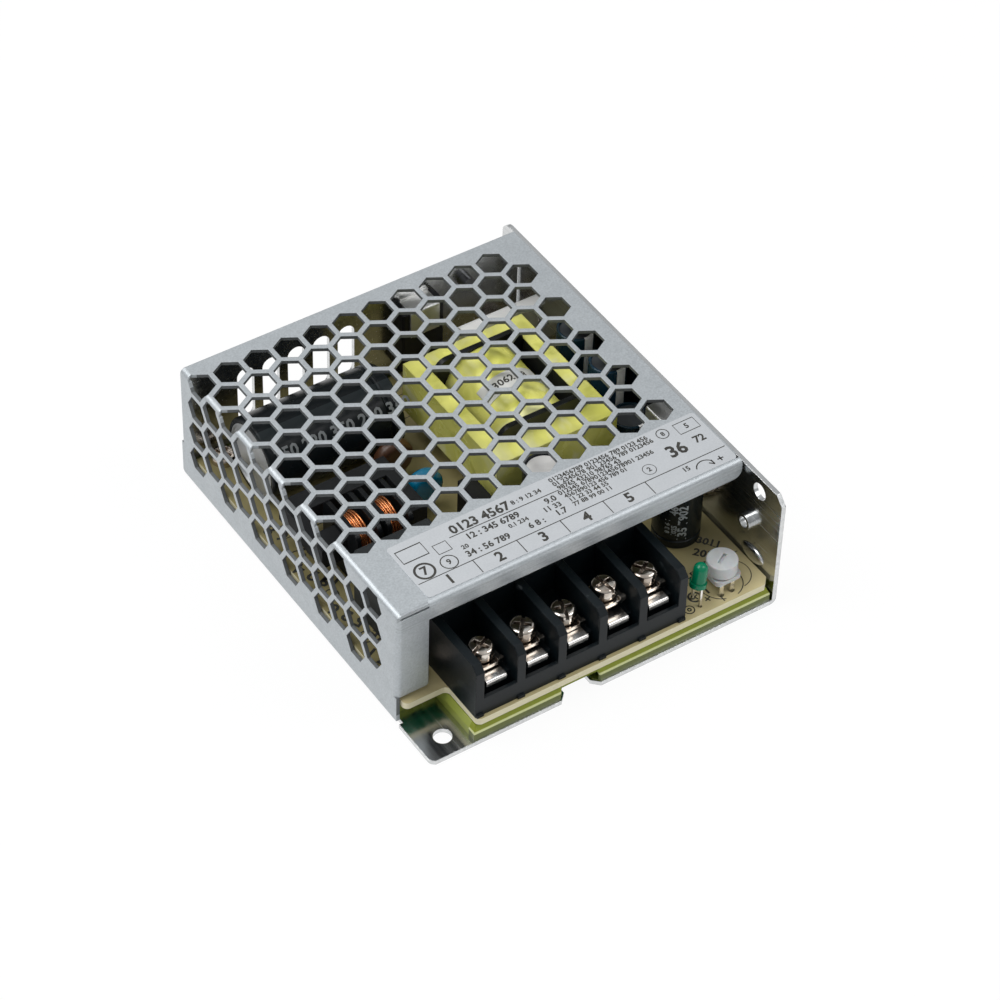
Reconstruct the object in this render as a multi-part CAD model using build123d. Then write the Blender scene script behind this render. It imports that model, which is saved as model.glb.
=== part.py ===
from build123d import *
import math
import os

# Millimetres. +Z up, the terminals face -Y, the solid aluminium side wall is on +X.
# The origin is under the middle of the case, on the face that it is mounted by.

# Case
case_width = 82.0
case_length = 99.0
case_height = 30.0
chassis_sheet = 1.0
cover_sheet = 0.8
label_thickness = 0.1
bend_inside_radius = 0.4
sheet_clearance = 0.1
cover_gap_at_wall = 0.4
wall_below_top = 1.0
wall_front_chamfer = 2.0
rear_ear = 4.8
rear_ear_corner = 2.4
rear_ear_lift = 0.6
base_tab_corner = 1.5
base_tab_gap = 1.0
fold_allowance = 0.5

# Cover
cover_front_setback = 12.7
cover_side_bottom = 1.0
side_rear_step = 0.7
side_step_height = 8.5
side_step_chamfer = 0.5
front_flange_height = 4.4
front_flange_corner = 2.0
side_flange_width = 7.3
side_flange_bottom = 7.3
side_flange_corner = 0.6
flange_slit = 0.5
bend_deduction = 1.13
flange_relief_width = 0.8
flange_relief_length = 1.3

# Hexagonal mesh
hex_across_flats = 5.9
hex_pitch = 7.0
mesh_first_from_side = 4.53
mesh_first_from_rear = 6.04
mesh_right_margin = 5.0
mesh_front_margin = 3.5
mesh_side_columns = 3

# Vent slots in the rear wall
slot_count = 5
slot_pitch = 6.0
slot_width = 4.0
slot_height = 14.0
slot_first_from_side = 14.0
slot_middle_below_top = 12.3

# Holes in the chassis
tab_hole_radius = 1.9
tab_hole_from_side = 5.5
tab_hole_from_front = 4.7
notch_middle_x = -6.2
notch_width = 6.2
notch_depth = 5.0
notch_flare = 1.6
notch_corner = 1.0
wall_hole_radius = 1.95
wall_hole_from_front = 7.2
wall_hole_below_top = 4.4
collar_from_front = 9.5
collar_z = 16.0
collar_length = 1.5
collar_outer_radius = 1.9
collar_bore_radius = 1.25
dimple_from_front = 7.4
dimple_z = 8.2
dimple_length = 7.2
dimple_width = 3.8
dimple_depth = 0.9

# Rating label on the cover
label_from_left = 7.8
label_from_right = 1.8
label_from_fold = 1.2
label_depth = 15.3
label_corner = 0.8

# Insulating film
film_thickness = 0.3
film_lip = 1.9
film_lean_height = 1.6
film_lean = 0.7
film_edge_gap = 0.4
film_tab_from_front = 14.5

# Circuit board
board_thickness = 1.6
board_stand = 3.8
board_edge_gap = 0.5
board_front_setback = 0.4
board_tab_from_side = 1.1
board_step_from_side = 10.7
board_tab_from_front = 11.2
board_corner_chamfer = 1.5
board_corner_radius = 1.2
board_rear_gap = 1.0
lead_clearance = 0.15
lead_tail = 1.4
standoff_radius = 2.5
board_screw_radius = 1.5
board_screw_head_radius = 2.7
board_screw_head_height = 1.8
board_screw_turn = 35
front_standoff_from_left = 6.4
front_standoff_from_front = 17.5
side_standoff_from_right = 5.5
side_standoff_from_front = 29.0
rear_standoff_from_left = 6.0
rear_standoff_from_rear = 10.5

# Terminal block
pole_count = 5
pole_pitch = 9.5
barrier_thickness = 1.9
first_pole_from_side = 16.35
block_from_front = 1.2
block_depth = 17.3
block_height = 13.4
block_chamfer = 1.5
block_back_wall = 1.5
lip_height = 4.6
lip_thickness = 0.8
trench_floor = 2.0
trench_length = 1.9
chamber_floor = 5.9
block_foot_depth = 0.4
block_foot_width = 1.6
block_foot_height = 0.7
contact_width = 4.6
contact_thickness = 0.9
contact_lip = 0.5
contact_from_block_front = 1.4
contact_length = 10.3
contact_pin_radius = 0.6
front_pin_from_end = 3.0
rear_pin_from_end = 0.9
terminal_from_block_front = 7.1
thread_end_gap = 0.4
terminal_thread_radius = 1.5
thread_clearance = 0.05
clamp_size = 6.4
clamp_thickness = 0.8
clamp_lug_height = 0.6
clamp_collar_radius = 1.9
clamp_collar_height = 0.4
clamp_corner = 0.6
clamp_lug_width = 1.4
clamp_lug_length = 0.9
lock_washer_radius = 2.5
lock_washer_thickness = 0.8
lock_washer_gap = 0.5
terminal_head_radius = 2.7
terminal_head_height = 1.9
terminal_shank_length = 7.4
terminal_slot_width = 0.7
terminal_slot_depth = 1.1
terminal_head_turn = 25
clamp_lifts = [0.5, 0.8, 0.2, 1.7, 0.6]

# Pan heads: their rounded edge by height, and their cross recess by radius
head_edge_share = 0.4
recess_length_share = 1.3
recess_width_share = 0.28

# Indicator lamp
lamp_from_right = 17.4
lamp_from_front = 3.75
lamp_tilt = 13
lamp_tilt_direction = 29
lamp_radius = 1.5
lamp_rim_radius = 1.8
lamp_rim_height = 1.0
lamp_length = 5.4
lamp_stand = 4.7
lamp_lead_spacing = 2.54
lamp_lead_size = 0.5

# Output adjusting trimmer
trimmer_from_right = 10.2
trimmer_from_front = 5.6
trimmer_base_size = 6.2
trimmer_base_corner = 1.2
trimmer_base_height = 1.0
trimmer_stand = 2.6
rotor_radius = 3.25
rotor_height = 2.95
rotor_gap = 0.3
rotor_pivot_gap = 0.05
rotor_pivot_radius = 1.0
rotor_slot_width = 0.7
rotor_slot_length = 3.0
rotor_slot_depth = 0.5
rotor_edge = 0.3
rotor_turn = 30
trimmer_leg_width = 1.0
trimmer_leg_thickness = 0.4
trimmer_leg_places = [(-1.9, -2.85), (0.7, -2.85), (0.0, 2.85)]

# Transformer
core_width = 29.0
core_length = 35.0
core_height = 12.0
core_leg_width = 3.6
core_back_length = 5.0
core_middle_radius = 4.9
core_from_right = 25.7
core_from_rear = 40.0
core_below_top = 5.2
tape_thickness = 0.2
winding_radius = 8.8
bobbin_tube_wall = 1.0
bobbin_flange = 1.2
bobbin_clearance = 0.1
bobbin_base_height = 3.0
bobbin_flange_rise = 0.3
bobbin_corner = 3.0
bobbin_foot = 3.0
paper_tag_width = 13.0
paper_tag_length = 4.6
paper_tag_thickness = 0.15

# Mains choke
choke_from_left = 16.3
choke_from_front = 48.9
choke_middle_z = 14.2
choke_winding_radius = 5.6
choke_winding_width = 4.0
choke_winding_pitch = 7.2
choke_flange_thickness = 1.0
choke_flange_size = 13.0
choke_tube_size = 6.6
choke_core_section = 5.0
choke_core_gap = 0.3
choke_core_end_gap = 3.2
choke_flange_corner = 2.0
choke_leg_spacing = 11.5

# Bulk capacitor
bulk_radius = 9.0
bulk_right_from_middle = 3.5
bulk_from_left = 6.0
bulk_from_rear = 21.9
bulk_lift = 0.2
bulk_groove_radius = 0.6
bulk_groove_offset = 3.2
bulk_lead_radius = 0.5
bulk_lead_spacing = 7.5
bulk_lead_reach = 1.8
bulk_end_rim = 1.5

# Other parts on the board
box_cap_from_left = 6.5
box_cap_rear_from_front = 39.1
box_cap_width = 17.5
box_cap_depth = 17.5
box_cap_height = 15.6
box_cap_side_corner = 0.8
box_cap_top_corner = 0.5
disc_x = -8.0
disc_y = 5.2
disc_radius = 4.2
disc_thickness = 3.4
disc_stand = 2.0
disc_lead_radius = 0.3
thermistor_x = -9.0
thermistor_y = 15.2
thermistor_radius = 4.5
thermistor_thickness = 3.0
fuse_x = -12.5
fuse_from_front = 27.5
fuse_radius = 2.0
fuse_length = 9.0
fuse_cap_length = 2.0
fuse_lift = 0.3
fuse_lead_radius = 0.35
bridge_x = -3.2
bridge_from_front = 39.5
bridge_width = 15.0
bridge_depth = 3.4
bridge_lead_pitch = 3.8
bridge_height = 11.0
bridge_stand = 1.5
bridge_corner = 2.0
output_cap_radius = 4.0
output_cap_from_right = 5.4
output_cap_ys = [15.6, 4.0, -4.6]
tall_output_cap_below_top = 3.1
short_output_cap_height = 12.0
supply_cap_x = 7.8
supply_cap_from_front = 35.1
supply_cap_radius = 4.5
supply_cap_below_top = 4.1
filter_cap_from_right = 9.5
filter_cap_from_front = 22.0
filter_cap_radius = 5.0
filter_cap_below_top = 3.6
cap_rim = 0.5
cap_rim_depth = 0.4
cap_groove = 0.4
cap_groove_height = 2.2
cap_edge = 0.3
opto_x = 17.0
opto_from_front = 25.5
opto_width = 6.4
opto_length = 9.8
opto_height = 3.6
opto_stand = 0.4
opto_lead_pitch = 2.54
power_body_width = 10.2
power_body_thickness = 4.5
power_body_height = 15.5
power_lead_pitch = 2.54
power_lead_size = 0.7
transistor_from_right = 27.8
rectifier_from_front = 35.5
power_body_below_top = 20.2
clip_sheet = 0.6
clip_width = 7.0
clip_foot = 6.0

# Heat sink of the output stage: a bent strip that stands behind the transformer
heat_sink_sheet = 1.0
heat_sink_from_right = 1.6
heat_sink_length = 20.0
heat_sink_from_rear = 14.0
heat_sink_depth = 3.4
heat_sink_height = 13.8
heat_sink_foot = 4.0
heat_sink_foot_height = 2.0

# Fixing screws of the cover
cover_screw_radius = 1.5
cover_screw_head_radius = 2.75
cover_screw_head_height = 1.7
cover_screw_length = 4.0
cover_screw_clearance = 0.2
cover_screw_slot = (3.4, 0.8, 1.4)
bottom_tab_y = 0.0
bottom_tab_gap = 1.0
tab_corner = 1.5
bottom_tab_width = 12.0
bottom_tab_length = 7.0
bottom_screw_from_side = 4.5
rear_tab_from_right = 15.0
rear_tab_width = 12.0
rear_tab_height = 9.4
rear_screw_below_top = 5.6

# Derived levels and planes
left_x = -case_width / 2
right_x = case_width / 2
front_y = -case_length / 2
rear_end_y = case_length / 2
cover_top_z = case_height - label_thickness
cover_under_z = cover_top_z - cover_sheet
cover_front_y = front_y + cover_front_setback
cover_rear_y = rear_end_y - rear_ear
cover_inner_x = left_x + cover_sheet
wall_inner_x = right_x - chassis_sheet
wall_top_z = case_height - wall_below_top
cover_right_x = wall_inner_x - cover_gap_at_wall
rear_wall_outer_y = cover_rear_y - cover_sheet
rear_wall_inner_y = rear_wall_outer_y - chassis_sheet
plate_left_x = cover_inner_x + sheet_clearance
board_under_z = chassis_sheet + board_stand
board_top_z = board_under_z + board_thickness
board_front_y = front_y + board_front_setback
board_right_x = wall_inner_x - board_edge_gap
board_rear_y = rear_wall_inner_y - board_rear_gap
board_tab_left_x = left_x + board_tab_from_side
board_left_x = left_x + board_step_from_side
board_tab_front_y = front_y + board_tab_from_front
label_front_y = cover_front_y + label_from_fold
label_rear_y = label_front_y + label_depth

# Mesh: as many rows and columns as fit between its margins
mesh_row_step = hex_pitch * math.sqrt(3) / 2
mesh_first_x = left_x + mesh_first_from_side
mesh_first_y = cover_rear_y - mesh_first_from_rear
mesh_columns = 1 + int((cover_right_x - mesh_right_margin - mesh_first_x) / hex_pitch)
mesh_top_rows = 1 + int((mesh_first_y - label_rear_y - mesh_front_margin) / mesh_row_step)
mesh_side_rows = 1 + int((mesh_first_y - cover_front_y - mesh_front_margin) / mesh_row_step)

# Places of the holes and fixings
slot_first_x = left_x + slot_first_from_side
slot_middle_z = case_height - slot_middle_below_top
wall_hole_y = front_y + wall_hole_from_front
wall_hole_z = case_height - wall_hole_below_top
collar_y = front_y + collar_from_front
dimple_y = front_y + dimple_from_front
bottom_screw_x = left_x + bottom_screw_from_side
rear_tab_x = right_x - rear_tab_from_right
rear_screw_z = cover_top_z - rear_screw_below_top
rear_standoff_y = rear_end_y - rear_standoff_from_rear
standoff_places = [(left_x + front_standoff_from_left, front_y + front_standoff_from_front),
                   (right_x - side_standoff_from_right, front_y + side_standoff_from_front),
                   (left_x + rear_standoff_from_left, rear_standoff_y),
                   (right_x - side_standoff_from_right, rear_standoff_y)]

# Places of the parts at the front
first_pole_x = left_x + first_pole_from_side
pole_xs = [first_pole_x + i * pole_pitch for i in range(pole_count)]
block_left_x = first_pole_x - pole_pitch / 2 - barrier_thickness / 2
block_right_x = pole_xs[-1] + pole_pitch / 2 + barrier_thickness / 2
block_front_y = front_y + block_from_front
block_back_y = block_front_y + block_depth
terminal_y = block_front_y + terminal_from_block_front
chamber_floor_z = board_top_z + chamber_floor
contact_front_y = block_front_y + contact_from_block_front
contact_rear_y = contact_front_y + contact_length
contact_top_z = chamber_floor_z + contact_thickness
contact_pin_ys = [contact_front_y + front_pin_from_end, contact_rear_y - rear_pin_from_end]
lamp_x = right_x - lamp_from_right
lamp_y = front_y + lamp_from_front
lamp_lead_ys = [lamp_y - lamp_lead_spacing / 2, lamp_y + lamp_lead_spacing / 2]
trimmer_x = right_x - trimmer_from_right
trimmer_y = front_y + trimmer_from_front
trimmer_base_z = board_top_z + trimmer_stand
rotor_bottom_z = trimmer_base_z + trimmer_base_height + rotor_gap

# Places of the parts inside
core_middle_x = right_x - core_from_right
core_middle_y = rear_end_y - core_from_rear
core_bottom_z = case_height - core_below_top - tape_thickness - core_height
core_middle_z = core_bottom_z + core_height / 2
choke_middle_x = left_x + choke_from_left
choke_middle_y = front_y + choke_from_front
bobbin_tube_radius = core_middle_radius + bobbin_clearance + bobbin_tube_wall
choke_section_xs = [choke_middle_x + step * choke_winding_pitch for step in (-0.5, 0.5)]
bulk_left_x = left_x + bulk_from_left
bulk_right_x = -bulk_right_from_middle
bulk_y = rear_end_y - bulk_from_rear
power_body_bottom = case_height - power_body_below_top
rectifier_y = front_y + rectifier_from_front

def block(x0, x1, y0, y1, z0, z1):
    middle = Pos((x0 + x1) / 2, (y0 + y1) / 2, (z0 + z1) / 2)
    return middle * Box(x1 - x0, y1 - y0, z1 - z0)


def upright(x, y, z0, z1, radius):
    return Pos(x, y, (z0 + z1) / 2) * Cylinder(radius, z1 - z0)


def along_x(x0, x1, y, z, radius):
    return Pos((x0 + x1) / 2, y, z) * Rot(0, 90, 0) * Cylinder(radius, x1 - x0)


def along_y(x, y0, y1, z, radius):
    return Pos(x, (y0 + y1) / 2, z) * Rot(90, 0, 0) * Cylinder(radius, y1 - y0)


def edges_near(shape, axis, *places):
    # The straight edges along one axis that pass through the given places across it.
    chosen = []
    for edge in shape.edges().filter_by(axis):
        middle = edge @ 0.5
        for place in places:
            near = all(want is None or abs(have - want) < 0.02 for have, want in zip(middle, place))
            if near:
                chosen.append(edge)
    return chosen


def folded_strip(corner, x_dir, z_dir, leg_x, leg_y, sheet, width):
    # A sheet folded once: two legs from the outer corner of the fold, run on along z_dir.
    outline = Polyline((0, 0), (leg_x, 0), (leg_x, sheet), (sheet, sheet), (sheet, leg_y), (0, leg_y),
                       close=True)
    profile = make_face(outline)
    outside = profile.vertices().sort_by_distance((0, 0, 0))[0]
    profile = fillet(outside, bend_inside_radius + sheet)
    inside = profile.vertices().sort_by_distance((sheet, sheet, 0))[0]
    profile = fillet(inside, bend_inside_radius)
    return extrude(Plane(origin=corner, x_dir=x_dir, z_dir=z_dir) * profile, width)


def hexagon_prism(plane, depth):
    profile = RegularPolygon(hex_across_flats / 2, 6, major_radius=False, rotation=30)
    return plane * extrude(profile, depth, both=True)


# Cover: one perforated sheet, folded over the top and down the left side

def mesh_cells_top():
    cells = []
    for row in range(mesh_top_rows):
        y = mesh_first_y - row * mesh_row_step
        half = row % 2 == 0
        first = mesh_first_x - hex_pitch / 2 if half else mesh_first_x
        for column in range(mesh_columns):
            cells.append((first + column * hex_pitch, y))
    return cells


def mesh_cells_side():
    # Heights follow from the top's columns, through the length lost in the fold.
    cells = []
    for row in range(mesh_side_rows):
        y = mesh_first_y - row * mesh_row_step
        half = row % 2 == 0
        first = mesh_first_x - hex_pitch / 2 if half else mesh_first_x
        top_distance = first - left_x
        start = 0 if half else 1
        for column in range(start, mesh_side_columns + 1):
            side_distance = bend_deduction - top_distance + column * hex_pitch
            reaches_fold = column > 0 or row < mesh_top_rows
            if reaches_fold:
                cells.append((y, cover_top_z - side_distance))
    return cells


def cover_shell():
    length = cover_rear_y - cover_front_y
    top_width = cover_right_x - left_x
    side_height = cover_top_z - cover_side_bottom
    fold = cover_sheet + bend_inside_radius + fold_allowance
    shell = folded_strip((left_x, cover_front_y, cover_top_z), (1, 0, 0), (0, 1, 0), top_width, side_height,
                         cover_sheet, length)
    flange_left_x = left_x + side_flange_width
    shell -= block(flange_left_x, right_x, cover_front_y, cover_front_y + fold, cover_under_z, cover_top_z)
    flange = folded_strip((cover_right_x, cover_front_y, cover_top_z), (0, 1, 0), (-1, 0, 0), fold,
                          front_flange_height, cover_sheet, cover_right_x - flange_left_x)
    corner = (cover_right_x, None, cover_top_z - front_flange_height)
    flange = fillet(edges_near(flange, Axis.Y, corner), front_flange_corner)
    slit_z = cover_under_z - flange_slit
    shell -= block(left_x, cover_inner_x, cover_front_y, cover_front_y + fold, side_flange_bottom, slit_z)
    side_flange = folded_strip((left_x, cover_front_y, side_flange_bottom), (1, 0, 0), (0, 0, 1),
                               side_flange_width, fold, cover_sheet, slit_z - side_flange_bottom)
    side_flange = fillet(edges_near(side_flange, Axis.Y, (flange_left_x, None, side_flange_bottom)),
                         side_flange_corner)
    step = block(left_x, cover_inner_x, cover_rear_y - 1, cover_rear_y + side_rear_step, cover_side_bottom,
                 cover_side_bottom + side_step_height)
    step = chamfer(edges_near(step, Axis.X, (None, cover_rear_y + side_rear_step, cover_side_bottom)),
                   side_step_chamfer)
    relief_y = cover_front_y + cover_sheet + bend_inside_radius
    relief = block(cover_right_x - flange_relief_width, right_x, relief_y, relief_y + flange_relief_length,
                   cover_under_z - cover_sheet, case_height)
    return shell + flange + side_flange + step - relief


def cover_bottom_tab():
    # Turned in under the board, on the base plate, for the screw from below.
    half = bottom_tab_width / 2
    tab = block(left_x, left_x + bottom_tab_length, bottom_tab_y - half, bottom_tab_y + half,
                chassis_sheet, chassis_sheet + cover_sheet)
    tab = fillet(tab.edges().filter_by(Axis.Z).group_by(Axis.X)[-1], tab_corner)
    return tab - upright(bottom_screw_x, bottom_tab_y, 0, board_under_z, cover_screw_radius)


def cover_rear_tab():
    half = rear_tab_width / 2
    tab = block(rear_tab_x - half, rear_tab_x + half, rear_wall_outer_y, cover_rear_y,
                cover_top_z - rear_tab_height, cover_top_z)
    tab = fillet(tab.edges().filter_by(Axis.Y).group_by(Axis.Z)[0], tab_corner)
    return tab - along_y(rear_tab_x, rear_wall_outer_y - 1, cover_rear_y + 1, rear_screw_z, cover_screw_radius)


def make_cover():
    shell = cover_shell() + cover_bottom_tab() + cover_rear_tab()
    cuts = []
    for x, y in mesh_cells_top():
        cuts.append(hexagon_prism(Plane((x, y, cover_top_z)), cover_sheet * 1.5))
    side_middle = left_x + cover_sheet / 2
    for y, z in mesh_cells_side():
        plane = Plane(origin=(side_middle, y, z), x_dir=(0, 0, 1), z_dir=(1, 0, 0))
        cuts.append(hexagon_prism(plane, cover_sheet))
    return shell - cuts


# Chassis: one thicker sheet with the base plate, the right wall and the rear wall

def make_chassis():
    fold = chassis_sheet + bend_inside_radius + fold_allowance
    plate_width = right_x - plate_left_x
    body = folded_strip((right_x, front_y, 0), (-1, 0, 0), (0, 1, 0), plate_width, wall_top_z, chassis_sheet,
                        rear_wall_outer_y - front_y)
    tab = block(left_x, 0, front_y, cover_front_y - base_tab_gap, 0, chassis_sheet)
    tab = fillet(edges_near(tab, Axis.Z, (left_x, front_y, None)), base_tab_corner)
    ear = block(wall_inner_x, right_x, rear_wall_outer_y - 2, rear_end_y, chassis_sheet + rear_ear_lift, wall_top_z)
    rear_right_x = wall_inner_x - cover_gap_at_wall
    body -= block(left_x, rear_right_x, rear_wall_outer_y - fold, rear_wall_outer_y, 0, chassis_sheet)
    rear = folded_strip((rear_right_x, rear_wall_outer_y, 0), (0, -1, 0), (-1, 0, 0), fold,
                        cover_under_z - sheet_clearance, chassis_sheet, rear_right_x - plate_left_x)
    body = body + tab + ear + rear
    body = chamfer(edges_near(body, Axis.X, (None, front_y, wall_top_z)), wall_front_chamfer)
    body = fillet(edges_near(body, Axis.X, (None, rear_end_y, wall_top_z)), rear_ear_corner)
    return body - chassis_cuts() + wall_collar() + wall_dimple()


def chassis_cuts():
    hole_x = left_x + tab_hole_from_side
    hole_y = front_y + tab_hole_from_front
    cuts = [notch_cut(0), upright(hole_x, hole_y, -1, chassis_sheet + 1, tab_hole_radius)]
    cuts.append(along_x(wall_inner_x - 1, right_x + 1, wall_hole_y, wall_hole_z, wall_hole_radius))
    cuts.append(along_x(wall_inner_x - 1, right_x + 1, collar_y, collar_z, collar_bore_radius))
    slot = SlotOverall(slot_height, slot_width, rotation=90)
    for i in range(slot_count):
        plane = Plane(origin=(slot_first_x + i * slot_pitch, rear_wall_outer_y + 1, slot_middle_z),
                      x_dir=(1, 0, 0), z_dir=(0, -1, 0))
        cuts.append(extrude(plane * slot, chassis_sheet + 2))
    cuts.append(along_y(rear_tab_x, rear_wall_inner_y - 1, rear_wall_outer_y + 1, rear_screw_z,
                        cover_screw_radius))
    cuts.append(upright(bottom_screw_x, bottom_tab_y, -1, chassis_sheet + 1,
                        cover_screw_radius + cover_screw_clearance))
    countersink = Cone(cover_screw_head_radius + sheet_clearance, cover_screw_radius + cover_screw_clearance,
                       chassis_sheet)
    cuts.append(Pos(bottom_screw_x, bottom_tab_y, chassis_sheet / 2) * countersink)
    for x, y in standoff_places:
        cuts.append(upright(x, y, -1, chassis_sheet + 1, board_screw_radius))
    cuts.append(wall_bulge(right_x, chassis_sheet))
    return cuts


def wall_bulge(x, sheet):
    # A long domed form, with its middle on a plane of the right wall, smaller by the sheet's thickness.
    half_length = (dimple_length - sheet) / 2
    half_width = (dimple_width - sheet) / 2
    dome = scale(Sphere(1), by=(dimple_depth, half_length, half_width))
    return Pos(x, dimple_y, dimple_z) * dome


def wall_dimple():
    # Pressed inwards from outside, so the inner face has the bulge and the outer face the hollow.
    inside = block(left_x, wall_inner_x + sheet_clearance, front_y, rear_end_y, 0, case_height)
    return (wall_bulge(wall_inner_x, 0) & inside) - wall_bulge(right_x, chassis_sheet)


def wall_collar():
    # An extruded and tapped collar on the inside of the right wall.
    collar = along_x(wall_inner_x - collar_length, wall_inner_x + 0.1, collar_y, collar_z, collar_outer_radius)
    bore = along_x(wall_inner_x - collar_length - 1, right_x, collar_y, collar_z, collar_bore_radius)
    return collar - bore


def notch_cut(extra):
    # The open-ended mounting notch, flared at its mouth, with rounded inner corners.
    half = notch_width / 2 + extra
    end_y = front_y + notch_depth + extra
    left, right = notch_middle_x - half, notch_middle_x + half
    outline = Polyline((left, end_y), (right, end_y), (right, front_y + notch_flare),
                       (right + notch_flare, front_y), (right + notch_flare, front_y - 1),
                       (left - notch_flare, front_y - 1), (left - notch_flare, front_y),
                       (left, front_y + notch_flare), close=True)
    profile = make_face(outline)
    profile = fillet(profile.vertices().filter_by_position(Axis.Y, end_y - 0.1, end_y + 0.1), notch_corner)
    return Pos(0, 0, -1) * extrude(profile, board_under_z)


# Parts between the chassis and the board

def film_outline(inset):
    # The film is notched round the free front-left corner of the base plate.
    left = plate_left_x + film_edge_gap + inset
    step_x = board_left_x - film_edge_gap - film_thickness + inset
    right = wall_inner_x - film_edge_gap - inset
    front = front_y + film_edge_gap + inset
    rear = rear_wall_inner_y - film_edge_gap - inset
    step_y = front_y + film_tab_from_front + inset
    return make_face(Polyline((step_x, front), (right, front), (right, rear), (left, rear), (left, step_y),
                              (step_x, step_y), close=True))


def film_tray(inset, low, high):
    # A straight rim to the fold, then a rim that leans in under the board.
    fold_z = chassis_sheet + film_lip
    tray = extrude(Pos(0, 0, low) * film_outline(inset), fold_z - low)
    at_fold = Pos(0, 0, fold_z) * film_outline(inset)
    at_edge = Pos(0, 0, high) * film_outline(inset + film_lean)
    leaning = loft([at_fold, at_edge], ruled=True)
    return tray + leaning


def make_insulating_sheet():
    floor_z = chassis_sheet
    top_z = floor_z + film_lip + film_lean_height
    sheet = film_tray(0, floor_z, top_z) - film_tray(film_thickness, floor_z + film_thickness, top_z)
    sheet -= notch_cut(film_edge_gap)
    half = bottom_tab_width / 2 + bottom_tab_gap
    sheet -= block(left_x, left_x + bottom_tab_length + bottom_tab_gap, bottom_tab_y - half,
                   bottom_tab_y + half, 0, board_under_z)
    for x, y in standoff_places:
        sheet -= upright(x, y, 0, board_under_z, standoff_radius + film_edge_gap)
    return sheet


def board_outline():
    board = block(board_tab_left_x, board_right_x, board_front_y, board_rear_y, board_under_z, board_top_z)
    board -= block(left_x, board_left_x, front_y, board_tab_front_y, board_under_z - 1, board_top_z + 1)
    corner = edges_near(board, Axis.Z, (board_right_x, board_front_y, None))
    board = chamfer(corner, board_corner_chamfer)
    rounded = edges_near(board, Axis.Z, (board_left_x, board_front_y, None),
                         (board_tab_left_x, board_tab_front_y, None), (board_left_x, board_tab_front_y, None))
    return fillet(rounded, board_corner_radius)


def make_circuit_board():
    board = board_outline()
    holes = [upright(x, y, board_under_z - 1, board_top_z + 1, board_screw_radius + lead_clearance)
             for x, y in standoff_places]
    for x in pole_xs:
        for y in contact_pin_ys:
            holes.append(upright(x, y, board_under_z - 1, board_top_z + 1,
                                 contact_pin_radius + lead_clearance))
    for y in lamp_lead_ys:
        holes.append(upright(lamp_x, y, board_under_z - 1, board_top_z + 1, lamp_lead_size))
    for x, y in trimmer_leg_places:
        holes.append(upright(trimmer_x + x, trimmer_y + y, board_under_z - 1, board_top_z + 1,
                             trimmer_leg_width / 2 + lead_clearance))
    return board - holes


def make_board_standoffs():
    posts = []
    for x, y in standoff_places:
        post = upright(x, y, chassis_sheet, board_under_z, standoff_radius)
        posts.append(post - upright(x, y, 0, board_under_z + 1, board_screw_radius))
    return posts


def make_board_screws():
    screws = []
    for x, y in standoff_places:
        shank = upright(x, y, chassis_sheet, board_top_z, board_screw_radius)
        screws.append(shank + pan_head(x, y, board_top_z, board_screw_head_radius, board_screw_head_height,
                                      board_screw_turn))
    return screws


def pan_head(x, y, z, radius, height, turn):
    # A rounded head with a cross recess, its underside at z.
    head = upright(x, y, z, z + height, radius)
    head = fillet(head.edges().group_by(Axis.Z)[-1], height * head_edge_share)
    for angle in (turn, turn + 90):
        slot = Pos(x, y, z + height) * Rot(0, 0, angle) * Box(radius * recess_length_share,
                                                                radius * recess_width_share, height)
        head -= slot
    return head


def make_cover_screws():
    rear = upright(0, 0, -cover_screw_length, 0, cover_screw_radius)
    rear += pan_head(0, 0, 0, cover_screw_head_radius, cover_screw_head_height, 20)
    rear = Pos(rear_tab_x, cover_rear_y, rear_screw_z) * Rot(-90, 0, 0) * rear
    countersunk = Cone(cover_screw_head_radius, cover_screw_radius, chassis_sheet)
    below = Pos(bottom_screw_x, bottom_tab_y, chassis_sheet / 2) * countersunk
    below += upright(bottom_screw_x, bottom_tab_y, chassis_sheet / 2, cover_screw_length, cover_screw_radius)
    for angle in (0, 90):
        below -= Pos(bottom_screw_x, bottom_tab_y, 0) * Rot(0, 0, angle) * Box(*cover_screw_slot)
    return [rear, below]


def make_rating_label():
    plate = block(left_x + label_from_left, right_x - label_from_right, label_front_y, label_rear_y,
                  cover_top_z, case_height)
    return fillet(plate.edges().filter_by(Axis.Z), label_corner)


# Terminal block: moulded housing, five contacts, five clamps with their screws

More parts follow.
